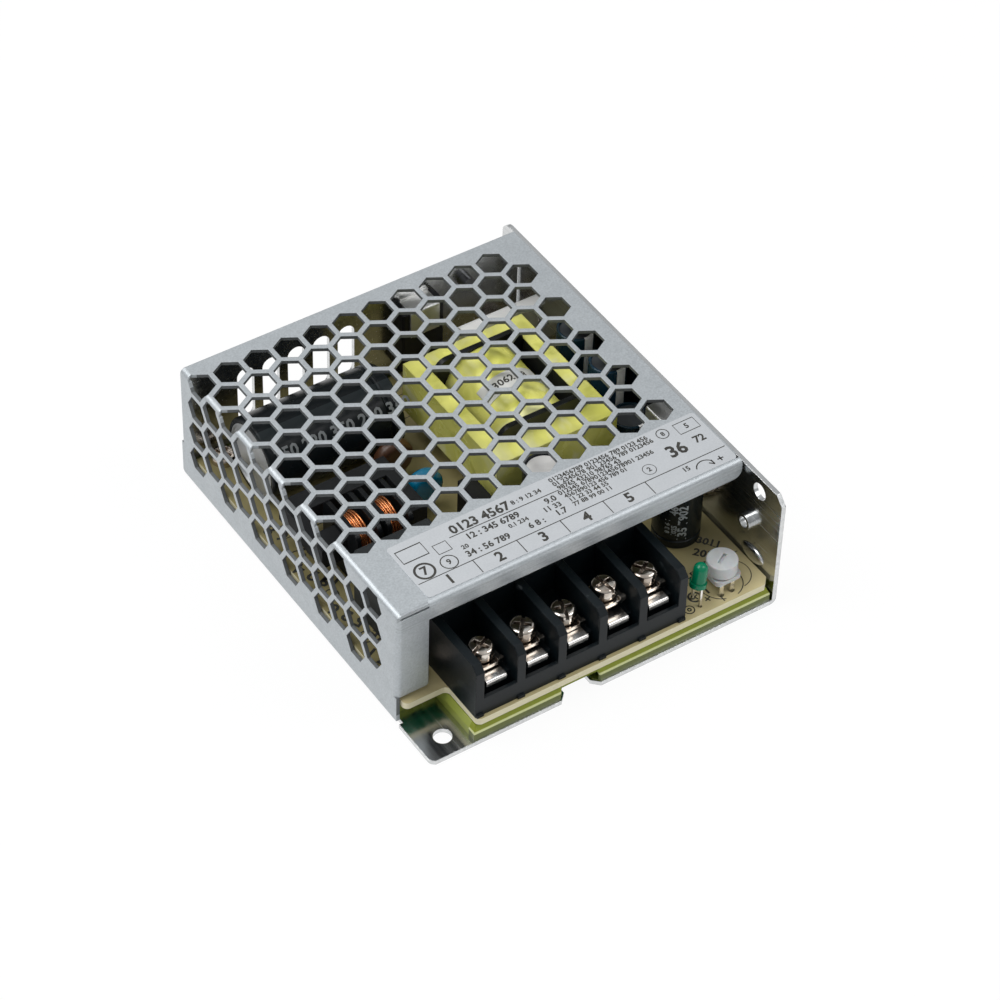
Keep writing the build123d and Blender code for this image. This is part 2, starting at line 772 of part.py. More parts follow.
def make_terminal_housing():
    body = block(block_left_x, block_right_x, block_front_y, block_back_y, board_top_z,
                 board_top_z + block_height)
    top_front = edges_near(body, Axis.X, (None, block_front_y, board_top_z + block_height))
    body = chamfer(top_front, block_chamfer)
    half = (pole_pitch - barrier_thickness) / 2
    inner_front = block_front_y + lip_thickness
    trench_end = inner_front + trench_length
    back = block_back_y - block_back_wall
    above = board_top_z + block_height + 1
    cuts = []
    for x in pole_xs:
        cuts.append(block(x - half, x + half, trench_end - 0.01, back, chamber_floor_z, above))
        cuts.append(block(x - half, x + half, inner_front, trench_end, board_top_z + trench_floor, above))
        cuts.append(block(x - half, x + half, block_front_y - 1, inner_front + 0.01,
                          board_top_z + lip_height, above))
        cuts.append(upright(x, terminal_y, board_top_z + thread_end_gap, chamber_floor_z + 1,
                            terminal_thread_radius + thread_end_gap))
        for y in contact_pin_ys:
            cuts.append(upright(x, y, board_top_z - 1, chamber_floor_z + 1,
                                contact_pin_radius + lead_clearance))
    body -= cuts
    feet = []
    for i in range(pole_count + 1):
        x = block_left_x + barrier_thickness / 2 + i * pole_pitch
        foot = block(x - block_foot_width / 2, x + block_foot_width / 2, block_front_y - block_foot_depth,
                     block_front_y + lip_thickness, board_top_z, board_top_z + block_foot_height)
        feet.append(foot)
    return body + feet


def make_contact(x):
    half = contact_width / 2
    bar = block(x - half, x + half, contact_front_y, contact_rear_y, chamber_floor_z, contact_top_z)
    bar += block(x - half, x + half, contact_front_y, contact_front_y + contact_thickness,
                 chamber_floor_z - contact_lip, contact_top_z)
    front_top = edges_near(bar, Axis.X, (None, contact_front_y, contact_top_z))
    bar = fillet(front_top, contact_thickness * 0.5)
    bar -= upright(x, terminal_y, 0, case_height, terminal_thread_radius + thread_clearance)
    pins = [upright(x, y, board_under_z - lead_tail, chamber_floor_z + 0.1, contact_pin_radius)
            for y in contact_pin_ys]
    return bar + pins


def make_clamp_washer(x, lift):
    # A square plate with two turned-up lugs and a collar for the lock washer.
    z = contact_top_z + lift
    half = clamp_size / 2
    plate = block(x - half, x + half, terminal_y - half, terminal_y + half, z, z + clamp_thickness)
    plate = fillet(plate.edges().filter_by(Axis.Z), clamp_corner)
    top = z + clamp_thickness
    half_lug = clamp_lug_width / 2
    for side in (-1, 1):
        lug_x = x + side * (half - half_lug)
        plate += block(lug_x - half_lug, lug_x + half_lug, terminal_y - half,
                       terminal_y - half + clamp_lug_length, z + 0.1, top + clamp_lug_height)
    plate += upright(x, terminal_y, z, top + clamp_collar_height, clamp_collar_radius)
    return plate - upright(x, terminal_y, 0, case_height, terminal_thread_radius + thread_clearance)


def make_lock_washer(x, lift):
    # A split ring between the clamp's collar and the head.
    z = lock_washer_z(lift)
    ring = upright(x, terminal_y, z, z + lock_washer_thickness, lock_washer_radius)
    ring -= upright(x, terminal_y, 0, case_height, terminal_thread_radius + thread_clearance)
    gap = Pos(x, terminal_y, z) * Rot(0, 0, 40) * Pos(lock_washer_radius, 0, 0)
    return ring - gap * Box(lock_washer_radius * 1.6, lock_washer_gap, 4 * lock_washer_thickness)


def lock_washer_z(lift):
    return contact_top_z + lift + clamp_thickness + clamp_collar_height


def make_terminal_screw(x, lift, turn):
    # A combined slot and cross head on a plain shank in place of its thread.
    z = lock_washer_z(lift) + lock_washer_thickness
    head = pan_head(x, terminal_y, z, terminal_head_radius, terminal_head_height, turn)
    top = z + terminal_head_height
    head -= Pos(x, terminal_y, top) * Rot(0, 0, turn) * Box(3 * terminal_head_radius, terminal_slot_width,
                                                            2 * terminal_slot_depth)
    shank = upright(x, terminal_y, z - terminal_shank_length, z, terminal_thread_radius)
    shank = chamfer(shank.edges().group_by(Axis.Z)[0], 0.4)
    return head + shank


# Indicator lamp and trimmer at the front right of the board

def make_indicator_lamp():
    # It leans a little on its leads, as it was bent by hand.
    lens = upright(0, 0, 0, lamp_length - lamp_radius, lamp_radius)
    lens += Pos(0, 0, lamp_length - lamp_radius) * Sphere(lamp_radius)
    lens += upright(0, 0, 0, lamp_rim_height, lamp_rim_radius)
    leaning = Rot(0, 0, lamp_tilt_direction) * Rot(0, lamp_tilt, 0) * lens
    return Pos(lamp_x, lamp_y, board_top_z + lamp_stand) * leaning


def make_indicator_leads():
    half = lamp_lead_size / 2
    lamp = make_indicator_lamp()
    leads = []
    for y in lamp_lead_ys:
        lead = block(lamp_x - half, lamp_x + half, y - half, y + half, board_under_z - lead_tail,
                     board_top_z + lamp_stand + lamp_rim_height)
        leads.append((lead - lamp).solids().sort_by(Axis.Z)[0])
    return leads


def make_trimmer_base():
    half = trimmer_base_size / 2
    base = block(trimmer_x - half, trimmer_x + half, trimmer_y - half, trimmer_y + half, trimmer_base_z,
                 trimmer_base_z + trimmer_base_height)
    base = fillet(base.edges().filter_by(Axis.Z), trimmer_base_corner)
    return base - upright(trimmer_x, trimmer_y, 0, case_height, rotor_pivot_radius + rotor_pivot_gap)


def make_trimmer_rotor():
    top = rotor_bottom_z + rotor_height
    rotor = upright(trimmer_x, trimmer_y, rotor_bottom_z, top, rotor_radius)
    rotor = fillet(rotor.edges().group_by(Axis.Z)[-1], rotor_edge)
    slot = Box(rotor_slot_length, rotor_slot_width, 2 * rotor_slot_depth)
    rotor -= Pos(trimmer_x, trimmer_y, top) * Rot(0, 0, rotor_turn) * slot
    return rotor + upright(trimmer_x, trimmer_y, trimmer_base_z, top - 2 * rotor_slot_depth,
                           rotor_pivot_radius)


def make_trimmer_legs():
    legs = []
    for x, y in trimmer_leg_places:
        leg = Box(trimmer_leg_width, trimmer_leg_thickness, trimmer_stand)
        tail = Box(trimmer_leg_width / 2, trimmer_leg_thickness, board_thickness + lead_tail)
        place = Pos(trimmer_x + x, trimmer_y + y, board_top_z)
        leg = place * Pos(0, 0, trimmer_stand / 2) * leg
        legs.append(leg + place * Pos(0, 0, -(board_thickness + lead_tail) / 2) * tail)
    return legs


# Transformer: two E cores round a bobbin, with tape round the cores

def make_transformer_cores():
    low = core_bottom_z
    half_width = core_width / 2 - tape_thickness
    half_length = core_length / 2 - tape_thickness
    x, y = core_middle_x, core_middle_y
    whole = block(x - half_width, x + half_width, y - half_length, y + half_length, low, low + core_height)
    window_x = half_width - core_leg_width
    window_y = half_length - core_back_length
    whole -= block(x - window_x, x + window_x, y - window_y, y + window_y, low - 1, low + core_height + 1)
    whole += along_y(x, y - window_y - 1, y + window_y + 1, low + core_height / 2, core_middle_radius)
    front = whole & block(left_x, right_x, front_y, y - 0.02, 0, case_height)
    rear = whole & block(left_x, right_x, y + 0.02, rear_end_y, 0, case_height)
    return front, rear


def make_transformer_bobbin():
    x, y = core_middle_x, core_middle_y
    z = core_middle_z
    half_window = core_length / 2 - tape_thickness - core_back_length - bobbin_clearance
    tube = along_y(x, y - half_window, y + half_window, z, bobbin_tube_radius)
    half_flange = core_width / 2 - tape_thickness - core_leg_width - bobbin_clearance
    flange_top = z + winding_radius + bobbin_flange_rise
    for side in (-1, 1):
        outer_y = y + side * half_window
        inner_y = outer_y - side * bobbin_flange
        flange = block(x - half_flange, x + half_flange, min(outer_y, inner_y), max(outer_y, inner_y),
                       board_top_z + bobbin_base_height, flange_top)
        top_edges = flange.edges().filter_by(Axis.Y).group_by(Axis.Z)[-1]
        tube += fillet(top_edges, bobbin_corner)
        foot_y = y + side * (half_window - bobbin_foot / 2)
        tube += block(x - half_flange, x + half_flange, foot_y - bobbin_foot / 2,
                      foot_y + bobbin_foot / 2, board_top_z,
                      board_top_z + bobbin_base_height + 0.1)
    return tube - along_y(x, y - half_window - 1, y + half_window + 1, z,
                          core_middle_radius + bobbin_clearance)


def make_transformer_winding():
    x, y = core_middle_x, core_middle_y
    z = core_middle_z
    half = core_length / 2 - tape_thickness - core_back_length - bobbin_clearance - bobbin_flange
    coil = along_y(x, y - half, y + half, z, winding_radius)
    return coil - along_y(x, y - half - 1, y + half + 1, z, bobbin_tube_radius)


def make_transformer_tape():
    low = core_bottom_z
    x, y = core_middle_x, core_middle_y
    outer = block(x - core_width / 2, x + core_width / 2, y - core_length / 2, y + core_length / 2,
                  low - tape_thickness, low + core_height + tape_thickness)
    outer -= block(x - core_width / 2 + tape_thickness, x + core_width / 2 - tape_thickness,
                   y - core_length / 2 + tape_thickness, y + core_length / 2 - tape_thickness,
                   low, low + core_height)
    window_x = core_width / 2 - tape_thickness - core_leg_width
    window_y = core_length / 2 - tape_thickness - core_back_length
    return outer - block(x - window_x, x + window_x, y - window_y, y + window_y, 0, case_height)


def make_transformer_label():
    z = core_middle_z
    x, y = core_middle_x, core_middle_y
    radius = winding_radius + paper_tag_thickness
    sleeve = along_y(x, y - paper_tag_length / 2, y + paper_tag_length / 2, z, radius)
    sleeve -= along_y(x, y - paper_tag_length, y + paper_tag_length, z, winding_radius)
    half = paper_tag_width / 2
    return sleeve & block(x - half, x + half, front_y, rear_end_y, z, case_height)


# Mains choke: two sectioned windings on one leg of a square core

def make_choke_core():
    half = choke_core_section / 2
    x, y, z = choke_middle_x, choke_middle_y, choke_middle_z
    end = choke_winding_pitch / 2 + choke_winding_width / 2 + choke_flange_thickness + choke_core_end_gap
    rear_y = y + choke_leg_spacing
    ring = block(x - end - half, x + end + half, y - half, rear_y + half, z - half, z + half)
    return ring - block(x - end, x + end, y + half, rear_y - half, z - half - 1, z + half + 1)


def make_choke_bobbin():
    x, y, z = choke_middle_x, choke_middle_y, choke_middle_z
    reach = choke_winding_pitch / 2 + choke_winding_width / 2 + choke_flange_thickness
    half_tube = choke_tube_size / 2
    body = block(x - reach, x + reach, y - half_tube, y + half_tube, z - half_tube, z + half_tube)
    half_size = choke_flange_size / 2
    for section_x in choke_section_xs:
        for side in (-1, 1):
            middle = section_x + side * (choke_winding_width + choke_flange_thickness) / 2
            flange = block(middle - choke_flange_thickness / 2, middle + choke_flange_thickness / 2,
                           y - half_size, y + half_size, board_top_z, z + half_size)
            body += fillet(flange.edges().filter_by(Axis.X).group_by(Axis.Z)[-1], choke_flange_corner)
    hole = choke_core_section / 2 + choke_core_gap
    return body - block(x - reach, x + reach, y - hole, y + hole, z - hole, z + hole)


def make_choke_windings():
    coils = []
    half_tube = choke_tube_size / 2
    y, z = choke_middle_y, choke_middle_z
    for x in choke_section_xs:
        half = choke_winding_width / 2
        coil = along_x(x - half, x + half, y, z, choke_winding_radius)
        coils.append(coil - block(x - half, x + half, y - half_tube, y + half_tube,
                                  z - half_tube, z + half_tube))
    return coils


# Capacitors and small parts

def standing_can(x, y, radius, top):
    # An electrolytic capacitor: sleeve turned in over a recessed top, with a crimp groove at its foot.
    z = board_top_z
    can = upright(x, y, z, top, radius)
    can = fillet(can.edges(), cap_edge)
    can -= upright(x, y, top - cap_rim_depth, top + 1, radius - cap_rim)
    groove = Pos(x, y, z + cap_groove_height) * Torus(radius + cap_groove * 0.4, cap_groove)
    return can - groove


def make_bulk_capacitor():
    z = board_top_z + bulk_lift + bulk_radius
    right = bulk_right_x
    can = along_x(bulk_left_x, right, bulk_y, z, bulk_radius)
    can = fillet(can.edges(), 0.6)
    can -= along_x(bulk_left_x - 1, bulk_left_x + cap_rim_depth, bulk_y, z, bulk_radius - bulk_end_rim)
    groove = Pos(right - bulk_groove_offset, bulk_y, z) * Rot(0, 90, 0)
    can -= groove * Torus(bulk_radius + bulk_groove_radius * 0.4, bulk_groove_radius)
    leads = []
    for side in (-1, 1):
        y = bulk_y + side * bulk_lead_spacing / 2
        bend_x = right + bulk_lead_reach
        lead = along_x(right - bulk_lead_radius, bend_x, y, z, bulk_lead_radius)
        lead += upright(bend_x, y, board_top_z, z + bulk_lead_radius, bulk_lead_radius)
        leads.append(lead)
    return can + leads


def make_box_capacitor():
    left = left_x + box_cap_from_left
    rear = front_y + box_cap_rear_from_front
    box = block(left, left + box_cap_width, rear - box_cap_depth, rear, board_top_z,
                board_top_z + box_cap_height)
    box = fillet(box.edges().filter_by(Axis.Z), box_cap_side_corner)
    return fillet(box.edges().group_by(Axis.Z)[-1], box_cap_top_corner)


def standing_disc(x, y, radius, thickness, stand):
    # A dipped disc on two straight leads.
    z = board_top_z + stand + radius
    disc = fillet(along_y(x, y - thickness / 2, y + thickness / 2, z, radius).edges(), thickness * 0.4)
    for side in (-1, 1):
        disc += upright(x + side * radius * 0.6, y, board_top_z, z, disc_lead_radius)
    return disc


def make_fuse():
    z = board_top_z + fuse_radius + fuse_lift
    fuse_y = front_y + fuse_from_front
    half = fuse_length / 2
    body = along_y(fuse_x, fuse_y - half, fuse_y + half, z, fuse_radius - 0.2)
    for side in (-1, 1):
        end = fuse_y + side * half
        inner = end - side * fuse_cap_length
        body += along_y(fuse_x, min(end, inner), max(end, inner), z, fuse_radius)
        body += upright(fuse_x, end - side * 2 * fuse_lead_radius, board_top_z, z, fuse_lead_radius)
    return body


def make_bridge_rectifier():
    # A flat body standing on four leads, with its corner cut at the plus lead.
    z = board_top_z + bridge_stand
    half_w, half_d = bridge_width / 2, bridge_depth / 2
    body = block(-half_w, half_w, -half_d, half_d, z, z + bridge_height)
    body = chamfer(body.edges().filter_by(Axis.Y).group_by(Axis.Z)[-1].sort_by(Axis.X)[0], bridge_corner)
    for i in range(4):
        x = (i - 1.5) * bridge_lead_pitch
        body += block(x - 0.4, x + 0.4, -0.25, 0.25, board_top_z, z + 0.1)
    return Pos(bridge_x, front_y + bridge_from_front, 0) * Rot(0, 0, 90) * body


def make_optocoupler():
    z = board_top_z + opto_stand
    opto_y = front_y + opto_from_front
    half_w, half_l = opto_width / 2, opto_length / 2
    body = block(opto_x - half_w, opto_x + half_w, opto_y - half_l, opto_y + half_l, z, z + opto_height)
    body = chamfer(body.edges().group_by(Axis.Z)[-1], 0.4)
    for side in (-1, 1):
        for i in range(4):
            y = opto_y + (i - 1.5) * opto_lead_pitch
            x = opto_x + side * (half_w + 0.3)
            body += block(x - 0.4, x + 0.4, y - 0.3, y + 0.3, board_top_z, z + 1.5)
    return body


def power_body():
    # A flat plastic power device standing on three leads, its back on the plane y = 0.
    z = power_body_bottom
    half = power_body_width / 2
    body = block(-half, half, -power_body_thickness, 0, z, z + power_body_height)
    body = chamfer(body.edges().filter_by(Axis.Z).group_by(Axis.Y)[0], 0.5)
    for step in (-1, 0, 1):
        x = step * power_lead_pitch
        y = -power_body_thickness / 2
        half_lead = power_lead_size / 2
        body += block(x - half_lead, x + half_lead, y - half_lead, y + half_lead, board_top_z, z + 0.1)
    return body


def spring_clip():
    # A bent strip: its foot lies on the wall over the device and its nose presses on the body.
    half = clip_width / 2
    top = power_body_bottom + power_body_height
    body_face = -power_body_thickness
    foot = block(-half, half, -clip_sheet, 0, top, top + clip_sheet * 2)
    bridge = block(-half, half, body_face - clip_sheet, 0, top, top + clip_sheet)
    nose = block(-half, half, body_face - clip_sheet, body_face, top - clip_foot, top + clip_sheet)
    clip = bridge + nose + foot
    outer = edges_near(clip, Axis.X, (None, body_face - clip_sheet, top + clip_sheet))
    return fillet(outer, clip_sheet * 0.9)


def make_heat_sink():
    # A bent strip on two feet: its web stands upright and its top is turned forward.
    right = right_x - heat_sink_from_right
    left = right - heat_sink_length
    front = rear_end_y - heat_sink_from_rear - heat_sink_depth
    top = board_top_z + heat_sink_height
    sink = folded_strip((left, front + heat_sink_depth, top), (0, -1, 0), (1, 0, 0), heat_sink_depth,
                        heat_sink_height, heat_sink_sheet, heat_sink_length)
    gap = block(left + heat_sink_foot, right - heat_sink_foot, front, rear_end_y, board_top_z,
                board_top_z + heat_sink_foot_height)
    return sink - gap


def on_rear_wall(shape):
    return Pos(right_x - transistor_from_right, rear_wall_inner_y, 0) * shape


def on_right_wall(shape):
    return Pos(wall_inner_x, rectifier_y, 0) * Rot(0, 0, -90) * shape


def all_parts():
    core_front, core_rear = make_transformer_cores()
    parts = {
        "chassis": make_chassis(),
        "cover": make_cover(),
        "cover_screws": make_cover_screws(),
        "insulating_sheet": make_insulating_sheet(),
        "circuit_board": make_circuit_board(),
        "board_standoffs": make_board_standoffs(),
        "board_screws": make_board_screws(),
        "rating_label": make_rating_label(),
        "terminal_housing": make_terminal_housing(),
        "indicator_lamp": make_indicator_lamp(),
        "indicator_leads": make_indicator_leads(),
        "trimmer_base": make_trimmer_base(),
        "trimmer_rotor": make_trimmer_rotor(),
        "trimmer_legs": make_trimmer_legs(),
        "transformer_core_front": core_front,
        "transformer_core_rear": core_rear,
        "transformer_bobbin": make_transformer_bobbin(),
        "transformer_winding": make_transformer_winding(),
        "transformer_tape": make_transformer_tape(),
        "transformer_label": make_transformer_label(),
        "choke_core": make_choke_core(),
        "choke_bobbin": make_choke_bobbin(),
        "choke_windings": make_choke_windings(),
        "bulk_capacitor": make_bulk_capacitor(),
        "box_capacitor": make_box_capacitor(),
        "disc_capacitor": standing_disc(disc_x, disc_y, disc_radius, disc_thickness, disc_stand),
        "thermistor": standing_disc(thermistor_x, thermistor_y, thermistor_radius, thermistor_thickness,
                                    disc_stand),
        "fuse": make_fuse(),
        "bridge_rectifier": make_bridge_rectifier(),
        "switching_transistor": on_rear_wall(power_body()),
        "transistor_clip": on_rear_wall(spring_clip()),
        "output_rectifier": on_right_wall(power_body()),
        "rectifier_clip": on_right_wall(spring_clip()),
        "heat_sink": make_heat_sink(),
        "supply_capacitor": standing_can(supply_cap_x, front_y + supply_cap_from_front, supply_cap_radius,
                                         case_height - supply_cap_below_top),
        "filter_capacitor": standing_can(right_x - filter_cap_from_right, front_y + filter_cap_from_front,
                                         filter_cap_radius, case_height - filter_cap_below_top),
        "optocoupler": make_optocoupler(),
    }
    tall = case_height - tall_output_cap_below_top
    tops = [tall, tall, board_top_z + short_output_cap_height]
    for i, (y, top) in enumerate(zip(output_cap_ys, tops), 1):
        parts[f"output_capacitor_{i}"] = standing_can(right_x - output_cap_from_right, y,
                                                      output_cap_radius, top)
    for i, (x, lift) in enumerate(zip(pole_xs, clamp_lifts), 1):
        parts[f"terminal_contact_{i}"] = make_contact(x)
        parts[f"clamp_washer_{i}"] = make_clamp_washer(x, lift)
        parts[f"lock_washer_{i}"] = make_lock_washer(x, lift)
        parts[f"terminal_screw_{i}"] = make_terminal_screw(x, lift, terminal_head_turn * i)
    return parts


os.makedirs("parts", exist_ok=True)
for name, shape in all_parts().items():
    if isinstance(shape, list):
        shape = Compound(children=[Part(piece.wrapped) for piece in shape])
    export_step(shape, f"parts/{name}.step")
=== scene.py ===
import math

import bmesh
import bpy
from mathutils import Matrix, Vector


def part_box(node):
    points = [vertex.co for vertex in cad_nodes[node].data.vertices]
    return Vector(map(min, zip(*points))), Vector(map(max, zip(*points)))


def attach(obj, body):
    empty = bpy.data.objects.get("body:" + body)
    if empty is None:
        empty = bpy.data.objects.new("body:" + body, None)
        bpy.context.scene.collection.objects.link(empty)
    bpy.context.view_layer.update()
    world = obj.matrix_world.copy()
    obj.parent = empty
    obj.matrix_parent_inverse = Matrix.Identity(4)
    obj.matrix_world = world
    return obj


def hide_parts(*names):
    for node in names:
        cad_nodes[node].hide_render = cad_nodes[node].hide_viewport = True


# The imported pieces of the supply, each already in its place.
# They are in metres: the terminals face -Y and the solid aluminium wall is on +X.
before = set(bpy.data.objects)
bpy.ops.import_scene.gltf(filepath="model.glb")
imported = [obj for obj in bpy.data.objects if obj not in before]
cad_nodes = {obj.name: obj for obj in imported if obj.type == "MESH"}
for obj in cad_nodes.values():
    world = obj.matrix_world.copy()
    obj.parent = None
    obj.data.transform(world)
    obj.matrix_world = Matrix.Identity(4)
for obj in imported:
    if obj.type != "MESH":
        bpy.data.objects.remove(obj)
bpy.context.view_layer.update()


# Chassis: base, right wall and rear wall, folded from one sheet of bright rolled aluminium.
# The mill leaves fine lines along the sheet, and handling leaves faint scratches and smudges.
mm = 0.001


def node(tree, kind, settings=None, **sockets):
    # A shader node with its settings, and its sockets linked or set: i3 stands for input 3.
    made = tree.nodes.new("ShaderNode" + kind)
    for key, value in (settings or {}).items():
        setattr(made, key, value)
    for key, value in sockets.items():
        numbered = key[0] == "i" and key[1:].isdigit()
        socket = made.inputs[int(key[1:])] if numbered else made.inputs[key]
        if isinstance(value, bpy.types.NodeSocket):
            tree.links.new(value, socket)
        else:
            socket.default_value = value
    return made


def math_node(tree, operation, *values):
    sockets = {f"i{n}": value for n, value in enumerate(values)}
    return node(tree, "Math", {"operation": operation}, **sockets).outputs[0]


def mixed(tree, share, first, second):
    # The first colour where the share is 0, and the second where it is 1.
    made = node(tree, "Mix", {"data_type": "RGBA"}, Factor=share)
    colour_inputs, colour_output = made.inputs[6:8], made.outputs[2]
    for socket, value in zip(colour_inputs, (first, second)):
        if isinstance(value, bpy.types.NodeSocket):
            tree.links.new(value, socket)
        else:
            socket.default_value = (*value, 1)
    return colour_output


def ramp(tree, value, start, end, low=0.0, high=1.0):
    # Goes from low to high while the value goes from start to end, and stays level outside.
    return node(tree, "MapRange", i0=value, i1=start, i2=end, i3=low, i4=high).outputs[0]


def noise(tree, place, scale, detail=2.0, distortion=0.0):
    return node(tree, "TexNoise", Vector=place, Scale=scale, Detail=detail,
                Distortion=distortion).outputs["Fac"]


def stretched(tree, place, factors):
    return node(tree, "VectorMath", {"operation": "MULTIPLY"}, i0=place, i1=factors).outputs[0]


def new_group(name, inputs, outputs):
    tree = bpy.data.node_groups.new(name, "ShaderNodeTree")
    for label, kind, value in inputs:
        socket = tree.interface.new_socket(name=label, in_out="INPUT",
                                           socket_type="NodeSocket" + kind)
        socket.default_value = value
    for label, kind in outputs:
        tree.interface.new_socket(name=label, in_out="OUTPUT", socket_type="NodeSocket" + kind)
    given = tree.nodes.new("NodeGroupInput").outputs
    result = tree.nodes.new("NodeGroupOutput").inputs
    return tree, given, result


def make_grain_group():
    # Broad patches and fine grain together. The fine grain is stretched along the way the
    # surface was rolled or moulded.
    tree, given, result = new_group("grain", [
        ("Place", "Vector", (0, 0, 0)), ("Stretch", "Vector", (1, 1, 1)),
        ("Scale", "Float", 600.0), ("Colour", "Color", (1, 1, 1, 1)),
        ("Patch Colour", "Color", (1, 1, 1, 1)), ("Roughness", "Float", 0.4),
        ("Roughness Spread", "Float", 0.1), ("Speckle", "Float", 0.0)],
        [("Colour", "Color"), ("Roughness", "Float"), ("Height", "Float")])
    patch_scale_share, fine_share = 0.12, 0.45
    fine = noise(tree, stretched(tree, given["Place"], given["Stretch"]), given["Scale"], 4.0)
    patch_scale = math_node(tree, "MULTIPLY", given["Scale"], patch_scale_share)
    patches = ramp(tree, noise(tree, given["Place"], patch_scale), 0.35, 0.65)
    fine_over_patches = math_node(tree, "SUBTRACT", fine, patches)
    share = math_node(tree, "MULTIPLY_ADD", fine_over_patches, fine_share, patches)
    from_middle = math_node(tree, "SUBTRACT", fine, 0.5)
    light = math_node(tree, "MULTIPLY_ADD", from_middle, given["Speckle"], 1.0)
    colour = mixed(tree, share, given["Colour"], given["Patch Colour"])
    shaded = node(tree, "VectorMath", {"operation": "SCALE"}, Vector=colour, Scale=light)
    tree.links.new(shaded.outputs[0], result["Colour"])
    spread = math_node(tree, "MULTIPLY", from_middle, given["Roughness Spread"])
    tree.links.new(math_node(tree, "ADD", given["Roughness"], spread), result["Roughness"])
    tree.links.new(fine, result["Height"])
    return tree


def make_scratch_group():
    # Thin straight scratches, only where a broad patch lets them through.
    tree, given, result = new_group("scratches", [
        ("Place", "Vector", (0, 0, 0)), ("Turn", "Float", 0.5), ("Scale", "Float", 500.0),
        ("Amount", "Float", 0.2)], [("Mask", "Float")])
    scratch_axis, scratch_stretch, area_scale_share = (0.3, 0.4, 1.0), (1, 0.03, 1), 0.15
    turned = node(tree, "VectorRotate", {"rotation_type": "AXIS_ANGLE"}, Vector=given["Place"],
                  Axis=scratch_axis, Angle=given["Turn"]).outputs[0]
    lines = noise(tree, stretched(tree, turned, scratch_stretch), given["Scale"], 1.0)
    area_scale = math_node(tree, "MULTIPLY", given["Scale"], area_scale_share)
    area = ramp(tree, noise(tree, given["Place"], area_scale), 0.5, 0.62)
    masked = math_node(tree, "MULTIPLY", ramp(tree, lines, 0.70, 0.74), area)
    tree.links.new(math_node(tree, "MULTIPLY", masked, given["Amount"]), result["Mask"])
    return tree


def make_edge_group():
    # Rounds the look of every sharp edge by a small radius, and roughens the surface with the
    # grain's height.
    tree, given, result = new_group("soft_edges", [
        ("Radius", "Float", 0.0001), ("Height", "Float", 0.0), ("Depth", "Float", 0.00001)],
        [("Normal", "Vector")])
    rounded = node(tree, "Bevel", {"samples": 4}, Radius=given["Radius"]).outputs[0]
    bump = node(tree, "Bump", Height=given["Height"], Distance=given["Depth"], Normal=rounded)
    tree.links.new(bump.outputs[0], result["Normal"])
    return tree


grain_group = make_grain_group()
scratch_group = make_scratch_group()
edge_group = make_edge_group()


